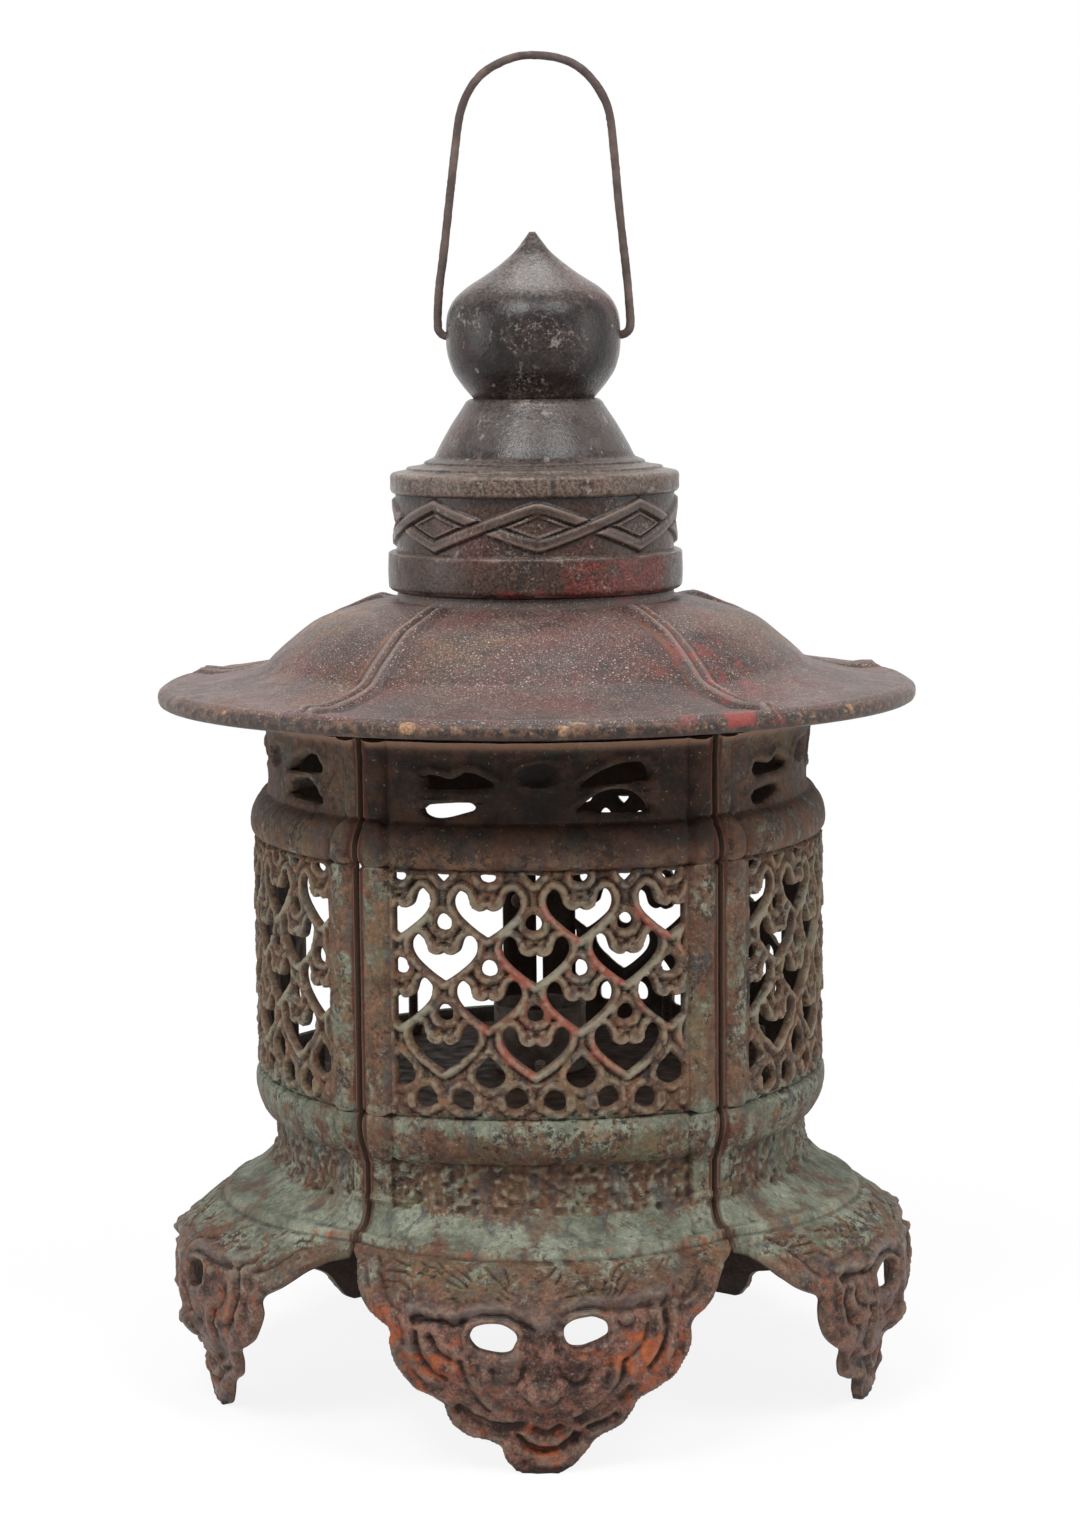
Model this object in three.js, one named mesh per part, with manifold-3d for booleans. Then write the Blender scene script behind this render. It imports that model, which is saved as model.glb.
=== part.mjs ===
// A cast-iron pagoda lantern: a five-lobed roof under a capped onion finial with a wire bail, over
// five curved lattice panels that each end in a mask foot. Millimetres, +Z up, the origin on the
// axis in the plane of the foot tips. The front panel faces -Y, and a panel is drawn as the front
// one and turned about Z to its place.
import * as THREE from "three";
import { mergeVertices } from "three/addons/utils/BufferGeometryUtils.js";
import Module from "manifold-3d";

const wasm = await Module();
wasm.setup();

// Driving sizes

const SIDES = 5;
const seatGap = 0.3; // left between two pieces that rest on each other
const runningGap = 0.4; // left round what turns

// Side castings
const panelWall = 3.5;
const seamGap = 2.0; // open joint between two castings, at the lattice
const tipRadius = 104.3;
const tipWidth = 9;
const skirtRadius = 112.7;
const skirtHeight = 38; // height of the widest place of the foot
const bandBottom = 72;
const bandHeight = 11.5;
const bandRadius = 81.8;
const cornerSwell = 0.035; // a casting is flatter than a circle: what its seam edges stand out, as a share
const swellRise = 13; // height below the band over which the foot's plan turns into the wall's
const petalPinch = 0.1; // the foot is rounder than a circle: what its edges draw in
const lowerBeadHeight = 14.5;
const beadBulge = 3.2;
const latticeRadius = 87.2;
const windowHeight = 71.5;
const windowWidth = 82.6;
const upperBeadHeight = 14;
const friezeRadius = 82.6;
const friezeHeight = 22.5;
const hollowDepth = 1.8; // of the blind hollow in the middle of the frieze

// Lattice of hearts
const columnPitch = 26.5;
const rowPitch = 13.1;
const patternShift = -1.3; // how far the pattern sits off the middle of the window
const latticeBar = 4.2;

// Feet
const footWidth = 111; // across the widest scallop, along the curve of the skirt
const eyeSpacing = 26.4;
const eyeHeight = 43;
const eyeWidth = 13;
const eyeTall = 9.6;

// Bolts between roof, castings and floor plate
const boltCircle = 70;
const boltDiameter = 3.2;
const floorBoltTop = 112; // where its thread ends above the floor plate
const lugWidth = 14;
const lugThick = 3.5;
const floorThick = 3;
const floorHeight = 92.1; // underside of the floor plate

// Candle cup
const cupDiameter = 28.5;
const cupHeight = 20.4;
const cupWall = 1.2;
const cupRivetDiameter = 4;

// Roof
const rimRadius = 115;
const rimHeight = 211.9; // middle of the rim's edge
const rimThick = 4.6;
const crownHeight = 240.6;
const crownRadius = 47;
const ribWidth = 8;
const ribRise = 1.8;

// Cap and finial
const capRecess = 2.8; // dark joint under the cap
const flangeRadius = 44.6;
const flangeHeight = 11.5;
const drumRadius = 42.8;
const drumHeight = 18;
const lipRadius = 43.7;
const lipHeight = 5;
const domeHeight = 22.8;
const capWall = 4;
const capShoulder = 9; // how far the cap's hollow draws in under the lip
const capChamfer = 1;
const finialRadius = 26.4;
const finialHeight = 49.3;
const neckRadius = 19;
const finialWall = 3.5;
const rodDiameter = 6;
const coreWall = 4; // round the rod's thread in the finial

// Bail
const wireDiameter = 2.5;
const bailSpan = 57.4;
const bailArc = 22.2; // radius of the top of the loop
const bailReach = 83.6; // from the pivot to the top of the loop
const bailBend = 2.6; // length of the corner at each end
const bailTuck = 3; // how far its ends reach inside the finial's wall
const bailLean = 2; // how far the bent loop leans to +X at its top
const pivotShare = 0.372; // height of the pivot in the finial

// Door
const doorGap = 0.8;
const doorBorder = 4;
const doorOpen = 54; // degrees that the door stands open
const hingeOffset = 3.3; // of the pin outside the casting
const barrelRadius = 2.8;
const hingePinDiameter = 2.5;
const knuckleHeight = 6;
const hingeLeaf = 6.5; // how far the knuckle's leaf laps the door's edge
const lugHeight = 4;
const latchWidth = 5.6;
const latchLength = 17;
const latchThick = 2;
const stopHeight = 14;

// Heights and places that follow

const sector = (2 * Math.PI) / SIDES;
const bandTop = bandBottom + bandHeight;
const windowBottom = bandTop + lowerBeadHeight;
const windowTop = windowBottom + windowHeight;
const friezeBottom = windowTop + upperBeadHeight;
const panelTop = friezeBottom + friezeHeight;
const latticeInner = latticeRadius - panelWall;
const facets = 5; // flats across one casting
const innerFlat = latticeInner * Math.cos(sector / facets / 2); // nearest the axis that the wall comes
const beadEnd = latticeRadius - 0.4 * panelWall;
const latticeMiddle = (windowBottom + windowTop) / 2;
const floorTop = floorHeight + floorThick;
const capBottom = crownHeight + capRecess + seatGap;
const drumBottom = capBottom + flangeHeight;
const lipBottom = drumBottom + drumHeight;
const lipTop = lipBottom + lipHeight;
const capTop = lipTop + domeHeight;
const finialBottom = capTop + seatGap;
const pivotHeight = finialBottom + pivotShare * finialHeight;
const rodRadius = rodDiameter / 2;
const boltRadius = boltDiameter / 2;

const degrees = (a) => (a * Math.PI) / 180;

// Materials

const iron = (color, roughness) => new THREE.MeshStandardMaterial({ color, roughness, metalness: 0.5 });
const darkIron = iron(0x3a302c, 0.7);
const roofIron = iron(0x4a3a34, 0.7);
const verdigris = iron(0x6d6a58, 0.85);
const latticeIron = iron(0x65553f, 0.85);
const rustyIron = iron(0x5a3d2c, 0.9);
const wireIron = iron(0x4a3a33, 0.6);

// Geometry helpers

function solidOf(geometry) {
  const bare = geometry.index ? geometry.toNonIndexed() : geometry.clone();
  bare.deleteAttribute("normal");
  bare.deleteAttribute("uv");
  const merged = mergeVertices(bare, 1e-4);
  const mesh = new wasm.Mesh({
    numProp: 3,
    vertProperties: merged.attributes.position.array,
    triVerts: new Uint32Array(merged.index.array),
  });
  return new wasm.Manifold(mesh);
}

function geometryOf(solid) {
  const mesh = solid.getMesh();
  const geometry = new THREE.BufferGeometry();
  geometry.setAttribute("position", new THREE.BufferAttribute(mesh.vertProperties, 3));
  geometry.setIndex(new THREE.BufferAttribute(mesh.triVerts, 1));
  geometry.computeVertexNormals();
  return geometry;
}

const join = (first, ...rest) => rest.reduce((all, one) => all.add(one), first);
const cut = (first, ...rest) => rest.reduce((all, one) => all.subtract(one), first);

// A closed (radius, height) outline swept about Z through the given angles, measured from -Y
function swept(outline, angles) {
  const flat = outline.map(([r, z]) => new THREE.Vector2(r, z));
  const points = THREE.ShapeUtils.isClockWise(flat) ? flat.reverse() : flat;
  const at = (p, a) => [p.x * Math.sin(a), -p.x * Math.cos(a), p.y];
  const position = angles.flatMap((a) => points.flatMap((p) => at(p, a)));
  const n = points.length;
  const index = [];
  for (let i = 0; i + 1 < angles.length; i++) {
    for (let k = 0; k < n; k++) {
      const a = i * n + k;
      const b = i * n + ((k + 1) % n);
      index.push(a, a + n, b, b, a + n, b + n);
    }
  }
  const last = (angles.length - 1) * n;
  for (const [a, b, c] of THREE.ShapeUtils.triangulateShape(points, [])) {
    index.push(a, b, c, last + a, last + c, last + b);
  }
  const geometry = new THREE.BufferGeometry();
  geometry.setAttribute("position", new THREE.Float32BufferAttribute(position, 3));
  geometry.setIndex(index);
  return solidOf(geometry);
}

const arc = (halfAngle, steps) =>
  Array.from({ length: steps + 1 }, (_, i) => -halfAngle + (2 * halfAngle * i) / steps);

// A (radius, height) profile turned right round Z. It runs from the top down the outside.
function turned(profile, segments) {
  const points = profile.map(([r, z]) => new THREE.Vector2(r, z)).reverse();
  const geometry = new THREE.LatheGeometry(points, segments);
  geometry.rotateX(Math.PI / 2);
  return solidOf(geometry);
}

// An (x, z) outline as a prism from y = near to y = far
function prism(outline, near, far) {
  const shape = new THREE.Shape(outline.map(([x, z]) => new THREE.Vector2(x, z)));
  const geometry = new THREE.ExtrudeGeometry(shape, { depth: far - near, bevelEnabled: false });
  geometry.rotateX(Math.PI / 2);
  geometry.translate(0, far, 0);
  return solidOf(geometry);
}

function block(x0, x1, y0, y1, z0, z1) {
  const geometry = new THREE.BoxGeometry(x1 - x0, y1 - y0, z1 - z0);
  geometry.translate((x0 + x1) / 2, (y0 + y1) / 2, (z0 + z1) / 2);
  return solidOf(geometry);
}

// An upright bar of round or many-sided section
function post(radius, bottom, top, x = 0, y = 0, sides = 12) {
  const geometry = new THREE.CylinderGeometry(radius, radius, top - bottom, sides);
  geometry.rotateX(Math.PI / 2);
  geometry.translate(x, y, (bottom + top) / 2);
  return solidOf(geometry);
}

// A bar along Y
function crossBar(radius, near, far, z, sides = 12) {
  const geometry = new THREE.CylinderGeometry(radius, radius, far - near, sides);
  geometry.translate(0, (near + far) / 2, z);
  return solidOf(geometry);
}

const root = new THREE.Group();

function piece(name, solid, material, parent = root) {
  const mesh = new THREE.Mesh(geometryOf(solid), material);
  mesh.name = name;
  parent.add(mesh);
  return mesh;
}

// Side castings

// The S-curve of foot and skirt from the tip up to the band, as shares of its run and rise
function skirtLine() {
  const foot = [[0, 0], [0.06, 0.2], [0.32, 0.47], [0.87, 0.75], [1, 1]];
  const skirt = [[0.99, 0.22], [0.93, 0.38], [0.79, 0.53], [0.53, 0.67], [0.24, 0.8], [0.04, 0.93], [0, 1]];
  const coveRadius = bandRadius + 1;
  return [
    ...foot.map(([run, rise]) => [tipRadius + run * (skirtRadius - tipRadius), rise * skirtHeight]),
    ...skirt.map(([run, rise]) => [
      coveRadius + run * (skirtRadius - coveRadius),
      skirtHeight + rise * (bandBottom - skirtHeight),
    ]),
  ];
}

// The same line set in by a distance square to itself
function inset(line, distance) {
  return line.map(([r, z], i) => {
    const [r0, z0] = line[Math.max(i - 1, 0)];
    const [r1, z1] = line[Math.min(i + 1, line.length - 1)];
    const length = Math.hypot(r1 - r0, z1 - z0);
    return [r - (distance * (z1 - z0)) / length, z + (distance * (r1 - r0)) / length];
  });
}

function bead(bottom, top, lowRadius, highRadius) {
  return arc(Math.PI / 2, 3).map((a) => {
    const share = (Math.sin(a) + 1) / 2;
    const radius = lowRadius + share * (highRadius - lowRadius) + beadBulge * Math.cos(a);
    return [radius, bottom + share * (top - bottom)];
  });
}

function panelOutline() {
  const skirt = skirtLine();
  const coping = 2.6;
  const outer = [
    ...skirt,
    [bandRadius, bandBottom + 1],
    ...bead(bandTop, windowBottom - 0.5, bandRadius + 0.5, beadEnd),
    [latticeRadius, windowBottom],
    [latticeRadius, windowTop],
    ...bead(windowTop + 0.5, friezeBottom, beadEnd, friezeRadius + 0.5),
    [friezeRadius, friezeBottom + 0.5],
    [friezeRadius, panelTop - 2 * coping],
    [friezeRadius + coping, panelTop],
  ];
  const under = inset(skirt, panelWall).filter(([r], i) => i % 2 === 1 && r > bandRadius - panelWall);
  const inner = [
    [tipRadius - panelWall, 0],
    ...under,
    [bandRadius - panelWall, bandBottom],
    [bandRadius - panelWall, bandTop + 2],
    [latticeInner, windowBottom],
    [latticeInner, friezeBottom - 1 - panelWall],
    [friezeRadius - panelWall, friezeBottom - 1],
    [friezeRadius - panelWall, panelTop],
  ];
  return [...outer, ...inner.reverse()];
}

// Half the casting's front view: straight at the seam, then the scallops of the mask's beard
function footOutline() {
  const half = footWidth / 2;
  const edge = latticeRadius * Math.sin(sector / 2);
  const scallops = [
    [0.081, 0], [0.22, 0.22], [0.39, 0.345], [0.47, 0.48], [0.55, 0.61], [0.66, 0.72],
    [0.74, 0.85], [0.79, 0.98], [0.8, 1.09], [0.86, 1.22], [0.97, 1.38], [1, 1.52],
  ];
  const right = scallops.map(([x, z], i) => [i ? x * half : tipWidth / 2, z * skirtHeight]);
  right.push([edge, bandBottom + 3], [edge, panelTop + 1]);
  const left = right.map(([x, z]) => [-x, z]).reverse();
  return [...right, ...left];
}

// How much further out than the circle a casting's plan is, at an angle from its middle and a height
function planShare(angle, z) {
  const pinched = -petalPinch * Math.min(1, z / (0.8 * skirtHeight));
  const rise = THREE.MathUtils.clamp((z - (bandBottom - swellRise)) / swellRise, 0, 1);
  const depth = pinched + rise * (cornerSwell - pinched);
  return 1 + depth * ((angle / (sector / 2)) ** 2 - 0.2);
}

// A casting drawn on the circle, moved out and in to its own plan
function shaped(solid) {
  const geometry = geometryOf(solid);
  const position = geometry.getAttribute("position");
  for (let i = 0; i < position.count; i++) {
    const x = position.getX(i);
    const y = position.getY(i);
    const share = planShare(Math.atan2(x, -y), position.getZ(i));
    position.setXY(i, x * share, y * share);
  }
  return solidOf(geometry);
}

function castingBody() {
  const halfAngle = sector / 2 - Math.asin(seamGap / 2 / latticeRadius);
  const shell = swept(panelOutline(), arc(halfAngle, facets));
  const view = prism(footOutline(), -skirtRadius - 5, 0);
  return shell.intersect(view);
}

const mirrored = (half) => [...half, ...half.map(([x, z]) => [-x, z]).reverse()];
const placed = (outline, x0, z0) => outline.map(([x, z]) => [x + x0, z + z0]);

// One lattice cell is a lozenge with a heart below and a small hole above its pair of scrolls
function heart(x, z) {
  const reach = (columnPitch / 2 - latticeBar * Math.SQRT1_2) * 0.83;
  const lobe = [[reach, reach], [0.74 * reach, 1.56 * reach], [0.36 * reach, 0.94 * reach]];
  return placed([[0, 0], ...mirrored(lobe)], x, z);
}

function smallHole(x, z) {
  const r = columnPitch / 2 - 2.45 * latticeBar;
  return placed([[0, -r], [r, 0], [0, r], [-r, 0]], x, z + 1.41 * rowPitch);
}

// The hearts and holes of a window of the given size as one cutter through the wall
function latticeCutter(width, height) {
  const near = -latticeRadius - 2;
  const far = -latticeInner * Math.cos(sector / 2) + 2;
  const bottom = latticeMiddle - height / 2;
  const top = latticeMiddle + height / 2;
  const firstRow = latticeMiddle + 1.33 * rowPitch;
  const cells = [];
  const columns = Math.ceil(width / columnPitch);
  const rowsBelow = Math.ceil((firstRow - bottom) / rowPitch);
  const rowsAbove = Math.ceil((top - firstRow) / rowPitch);
  for (let row = -rowsAbove; row <= rowsBelow; row++) {
    const z = firstRow - row * rowPitch;
    const shift = row % 2 === 0 ? 0.5 : 0;
    for (let column = -columns; column <= columns; column++) {
      const x = (column + shift) * columnPitch + patternShift;
      if (Math.abs(x) < width / 2 + 0.45 * columnPitch) {
        cells.push(prism(heart(x, z), near, far), prism(smallHole(x, z), near, far));
      }
    }
  }
  return join(...cells).intersect(block(-width / 2, width / 2, near, far, bottom, top));
}

// The leaf-shaped holes of the frieze, two at each side of a blind hollow
function friezeCutter() {
  const near = -friezeRadius - 2;
  const far = -friezeRadius * Math.cos(sector / 2);
  const middle = (friezeBottom + panelTop) / 2;
  const upper = [[12, -2.4], [22, -1.5], [33, -1.7], [32.5, 1.4], [28, 4.1], [22, 3.8], [17, 1.3]];
  const lower = [[12, -10.1], [20, -10.4], [33, -10.6], [32.5, -8.4], [28, -5.2], [22, -3.7], [16, -6.2]];
  const cutters = [upper, lower].flatMap((leaf) =>
    [1, -1].map((side) => {
      const outline = placed(leaf, 0, middle).map(([x, z]) => [side * x, z]);
      return prism(side > 0 ? outline : outline.reverse(), near, far);
    }),
  );
  const hollow = arc(Math.PI, 8).slice(1).map((a) => [6.5 * Math.sin(a), middle + 0.6 - 4.4 * Math.cos(a)]);
  return join(...cutters, prism(hollow, near, -friezeRadius + hollowDepth));
}

function eyeCutter() {
  const around = arc(Math.PI, 8).slice(1);
  const eye = around.map((a) => [(eyeWidth / 2) * Math.sin(a), (-eyeTall / 2) * Math.cos(a)]);
  return join(
    ...[-1, 1].map((side) => prism(placed(eye, (side * eyeSpacing) / 2, eyeHeight), -skirtRadius - 5, -90)),
  );
}

// An inward lug with a bolt hole, its top at the given height
function boltLug(top, wallRadius) {
  const half = lugWidth / 2;
  const lug = block(-half, half, -wallRadius, -boltCircle + lugWidth / 2, top - lugThick, top);
  return cut(lug, post(boltRadius + seatGap, top - lugThick - 1, top + 1, 0, -boltCircle, 8));
}

const floorLugTop = floorHeight - seatGap;

// A casting with what fills or empties its window cut away
function casting(windowCutter) {
  return join(
    shaped(cut(castingBody(), friezeCutter(), eyeCutter(), windowCutter)),
    boltLug(panelTop, friezeRadius - 1),
    boltLug(floorLugTop, bandRadius),
  );
}

const latticeCasting = () => casting(latticeCutter(windowWidth, windowHeight));

// Door, its hinges and its latch, drawn in the doorway's own frame

const wallAt = (angle) => latticeRadius * planShare(angle, latticeMiddle);
const innerAt = (angle) => innerFlat * planShare(angle, latticeMiddle);
const hingeAngle = Math.asin((windowWidth / 2 + 3.8) / latticeRadius);
const hingeX = wallAt(hingeAngle) * Math.sin(hingeAngle);
const stileY = -wallAt(hingeAngle) * Math.cos(hingeAngle);
const hingeY = stileY - hingeOffset * 0.86;
const hingeSpread = 0.62 * windowHeight;
const hingeHeights = [-0.5, 0.5].map((share) => latticeMiddle + share * hingeSpread);
const hingePinRadius = hingePinDiameter / 2;
const lugFrom = knuckleHeight / 2 + runningGap;
const latchAngle = -Math.asin((windowWidth / 2 + 4.2) / latticeRadius);
const latchHeight = latticeMiddle;
const latchRivetRadius = 1.5;

// The two fork lugs of one hinge, carried by the stile
function hingeFork(z) {
  const stile = stileY + panelWall / 2;
  const lugs = [z - lugFrom - lugHeight, z + lugFrom].map((bottom) =>
    join(
      post(barrelRadius, bottom, bottom + lugHeight, hingeX, hingeY),
      block(hingeX - 2, hingeX + 2, hingeY, stile, bottom, bottom + lugHeight),
    ),
  );
  return join(...lugs);
}

const hingeBore = (z) => {
  const reach = lugFrom + lugHeight + 2;
  return post(hingePinRadius + seatGap, z - reach, z + reach, hingeX, hingeY, 10);
};

// A ledge inside the doorway that the closed door comes to rest on
function doorStop() {
  const edge = -Math.asin(windowWidth / 2 / latticeInner);
  const reach = innerAt(edge + 0.04) - seatGap;
  const low = latchHeight + latchRivetRadius + 5;
  const high = low + stopHeight;
  const sheet = (inner, outer) => [[inner, low], [outer, low], [outer, high], [inner, high]];
  const ledge = swept(sheet(reach - 2.5, reach), [edge - 0.04, edge, edge + 0.04]);
  const foot = swept(sheet(reach - 2.5, innerAt(edge) + 2), [edge - 0.04, edge - 0.012]);
  return join(ledge, foot);
}

// A hole or bar square to the wall at the latch, drawn at the front and turned to its place
const atLatch = (solid) => solid.rotate([0, 0, THREE.MathUtils.radToDeg(latchAngle)]);

function doorwayCasting() {
  const opening = block(-windowWidth / 2, windowWidth / 2, -latticeRadius - 2, -latticeInner * 0.8,
    windowBottom, windowTop);
  const latchBore = crossBar(latchRivetRadius + seatGap, -wallAt(latchAngle) - 3, -innerAt(latchAngle) + 3,
    latchHeight, 8);
  return cut(
    join(casting(opening), ...hingeHeights.map(hingeFork), doorStop()),
    ...hingeHeights.map(hingeBore),
    atLatch(latchBore),
  );
}

function door() {
  const half = windowWidth / 2 - doorGap;
  const low = windowBottom + doorGap;
  const high = windowTop - doorGap;
  const shell = swept(
    [[latticeInner, low], [latticeRadius, low], [latticeRadius, high], [latticeInner, high]],
    arc(sector / 2, facets),
  ).intersect(block(-half, half, -latticeRadius - 1, 0, low, high));
  const pattern = latticeCutter(2 * (half - doorBorder), high - low - 2 * doorBorder);
  const knuckles = hingeHeights.map((z) => {
    const bottom = z - knuckleHeight / 2;
    const top = z + knuckleHeight / 2;
    return join(
      post(barrelRadius, bottom, top, hingeX, hingeY),
      block(half - hingeLeaf, hingeX, hingeY - 2.2, hingeY + 0.4, bottom, top),
    );
  });
  return cut(join(shaped(cut(shell, pattern)), ...knuckles), ...hingeHeights.map(hingeBore));
}

function hingePin(z) {
  const low = z - lugFrom - lugHeight - 0.5;
  const high = z + lugFrom + lugHeight + seatGap;
  return join(
    post(hingePinRadius, low, high + 0.5, hingeX, hingeY, 10),
    post(hingePinRadius + 1.1, high, high + 1.6, hingeX, hingeY, 10),
  );
}

// The latch hangs down off the door at rest and turns a quarter over its edge
function latch() {
  const near = -wallAt(latchAngle) - runningGap - latchThick;
  const half = latchWidth / 2;
  const end = latchLength - half;
  const outline = [
    [-half, half * 0.6], [-half * 0.6, half], [half * 0.6, half], [half, half * 0.6],
    [half * 0.7, -end + 2], [half * 0.3, -end], [-half * 0.3, -end], [-half * 0.7, -end + 2],
  ];
  const bar = prism(placed(outline, 0, latchHeight), near, near + latchThick);
  const bore = crossBar(latchRivetRadius + runningGap, near - 1, near + latchThick + 1, latchHeight, 10);
  return atLatch(cut(bar, bore));
}

function latchRivet() {
  const face = -wallAt(latchAngle) - latchThick - 2 * runningGap;
  const back = -innerAt(latchAngle) + seatGap;
  return atLatch(join(
    crossBar(latchRivetRadius, face - 0.5, back + 0.5, latchHeight, 10),
    crossBar(latchRivetRadius + 1.3, face - 1.4, face, latchHeight, 10),
    crossBar(latchRivetRadius + 1.1, back, back + 1.4, latchHeight, 10),
  ));
}

// Roof

// Height of the lobes' top between crown and rim, as shares of the run and of the drop
const roofLine = [
  [0, 0], [0.135, 0.076], [0.21, 0.13], [0.3, 0.235], [0.42, 0.477], [0.48, 0.614],
  [0.53, 0.725], [0.65, 0.825], [0.79, 0.895], [0.92, 0.93], [1, 1],
];
const roofUnderLine = [0, 0.3, 0.53, 1]; // runs of the rows of the underside
const roofDrop = crownHeight - rimHeight - rimThick / 2;
const roofTopAt = (radius) => {
  const share = (radius - crownRadius) / (rimRadius - crownRadius);
  const found = roofLine.findIndex(([run]) => run >= Math.min(share, 1));
  const next = Math.max(1, found);
  const [run0, drop0] = roofLine[next - 1];
  const [run1, drop1] = roofLine[next];
  const drop = drop0 + ((drop1 - drop0) * (share - run0)) / (run1 - run0);
  return crownHeight - Math.max(0, drop) * roofDrop;
};

function roofShell() {
  const bore = rodRadius + seatGap;
  const radiusOf = (run) => crownRadius + run * (rimRadius - crownRadius);
  const topRows = [bore, ...roofLine.map(([run]) => radiusOf(run))];
  const underRows = [bore, ...roofUnderLine.map(radiusOf)];
  const half = ribWidth / 2;
  const ribs = [[-half, 0], [-0.45 * half, 1], [0, 0.55], [0.45 * half, 1], [half, 0]];
  const columns = [];
  for (let side = 0; side < SIDES; side++) {
    const middle = (side + 0.5) * sector;
    for (const [offset, rise] of ribs) columns.push({ middle, offset, turn: 0, rise });
    for (const share of [0.25, 0.5, 0.75]) columns.push({ middle, offset: 0, turn: share * sector, rise: 0 });
  }
  const position = [];
  const addRows = (rows, liftOf) => {
    rows.forEach((r, row) => {
      for (const { middle, offset, turn, rise } of columns) {
        const a = middle + turn + offset / Math.max(r, crownRadius);
        position.push(r * Math.sin(a), -r * Math.cos(a), roofTopAt(r) + liftOf(row, rise));
      }
    });
  };
  addRows(topRows, (row, rise) => (row > 1 ? rise * ribRise : 0));
  addRows(underRows, () => -rimThick);
  const n = columns.length;
  const under = topRows.length * n;
  const topRim = under - n;
  const underRim = under + (underRows.length - 1) * n;
  const index = [];
  const quad = (a, b, c, d) => index.push(a, b, c, a, c, d);
  for (let k = 0; k < n; k++) {
    const next = (k + 1) % n;
    for (let a = 0; a < topRim; a += n) quad(a + k, a + n + k, a + n + next, a + next);
    for (let a = under; a < underRim; a += n) quad(a + k, a + next, a + n + next, a + n + k);
    quad(topRim + k, underRim + k, underRim + next, topRim + next);
    quad(k, next, under + next, under + k);
  }
  const geometry = new THREE.BufferGeometry();
  geometry.setAttribute("position", new THREE.Float32BufferAttribute(position, 3));
  geometry.setIndex(index);
  return solidOf(geometry);
}

const seatRing = { inner: friezeRadius - panelWall - 1, outer: friezeRadius + 1.5 };
const bossRadius = boltRadius + 4;
const roofScrewDepth = 11;

function roof() {
  const seat = panelTop + seatGap;
  const ringTop = roofTopAt(seatRing.outer) - rimThick / 2;
  const ring = turned(
    [[seatRing.inner, ringTop], [seatRing.outer, ringTop], [seatRing.outer, seat], [seatRing.inner, seat],
      [seatRing.inner, ringTop]],
    25,
  );
  const register = turned(
    [[flangeRadius - 5, crownHeight + capRecess], [flangeRadius - 2.6, crownHeight + capRecess],
      [flangeRadius - 2.6, crownHeight - 1], [flangeRadius - 5, crownHeight - 1],
      [flangeRadius - 5, crownHeight + capRecess]],
    25,
  );
  const bosses = [];
  const bores = [];
  for (let side = 0; side < SIDES; side++) {
    const x = boltCircle * Math.sin(side * sector);
    const y = -boltCircle * Math.cos(side * sector);
    const bossTop = roofTopAt(boltCircle + bossRadius) - rimThick / 2;
    bosses.push(post(bossRadius, seat, bossTop, x, y, 10));
    bores.push(post(boltRadius + seatGap, seat - 1, panelTop + roofScrewDepth + seatGap, x, y, 8));
  }
  return cut(join(roofShell(), ring, register, ...bosses), ...bores);
}

// Cap

function cap() {
  const bore = rodRadius + seatGap;
  const shelf = neckRadius + 1.5;
  const dome = [[0, 0], [0.04, 0.13], [0.16, 0.3], [0.254, 0.456], [0.34, 0.61], [0.41, 0.77], [0.57, 0.85],
    [0.78, 0.93], [1, 1]];
  const drumInner = drumRadius - capWall;
  const outer = dome.map(([run, drop]) => [shelf + run * (lipRadius - shelf), capTop - drop * domeHeight]);
  return turned(
    [
      [bore, capTop],
      ...outer,
      [lipRadius, lipBottom],
      [drumRadius, lipBottom - capChamfer],
      [drumRadius, drumBottom + capChamfer],
      [flangeRadius, drumBottom],
      [flangeRadius, capBottom],
      [drumInner, capBottom],
      [drumInner, lipBottom],
      [drumInner - capShoulder, lipTop],
      [shelf + 1, lipTop + 0.3 * domeHeight],
      [shelf - capWall, capTop - capWall - 3],
      [shelf - capWall - 3, capTop - capWall],
      [bore, capTop - capWall],
      [bore, capTop],
    ],
    30,
  );
}

// Finial

// The onion from its tip to the neck, as shares of its radius and height
const onionLine = [
  [0, 1], [0.1, 0.957], [0.24, 0.868], [0.42, 0.793], [0.66, 0.706], [0.85, 0.62], [0.96, 0.52],
  [1, 0.385], [0.985, 0.3], [0.93, 0.2], [0.83, 0.105], [0.745, 0.045],
];
const coreRadius = rodRadius + coreWall;
const rodTop = finialBottom + 0.62 * finialHeight;

function finial() {
  const outer = onionLine.map(([r, z]) => [r * finialRadius, finialBottom + z * finialHeight]);
  const thread = rodRadius + seatGap;
  const hollow = finialRadius - finialWall;
  return turned(
    [
      ...outer,
      [neckRadius, finialBottom],
      [neckRadius - finialWall, finialBottom],
      [neckRadius - finialWall, finialBottom + 0.08 * finialHeight],
      [0.88 * hollow, finialBottom + 0.2 * finialHeight],
      [hollow, finialBottom + 0.36 * finialHeight],
      [0.92 * hollow, finialBottom + 0.54 * finialHeight],
      [0.66 * hollow, finialBottom + 0.65 * finialHeight],
      [coreRadius, finialBottom + 0.68 * finialHeight],
      [coreRadius, finialBottom + 0.25 * finialHeight],
      [thread, finialBottom + 0.25 * finialHeight],
      [thread, rodTop + seatGap],
      [0, rodTop + seatGap],
    ],
    26,
  );
}

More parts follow.
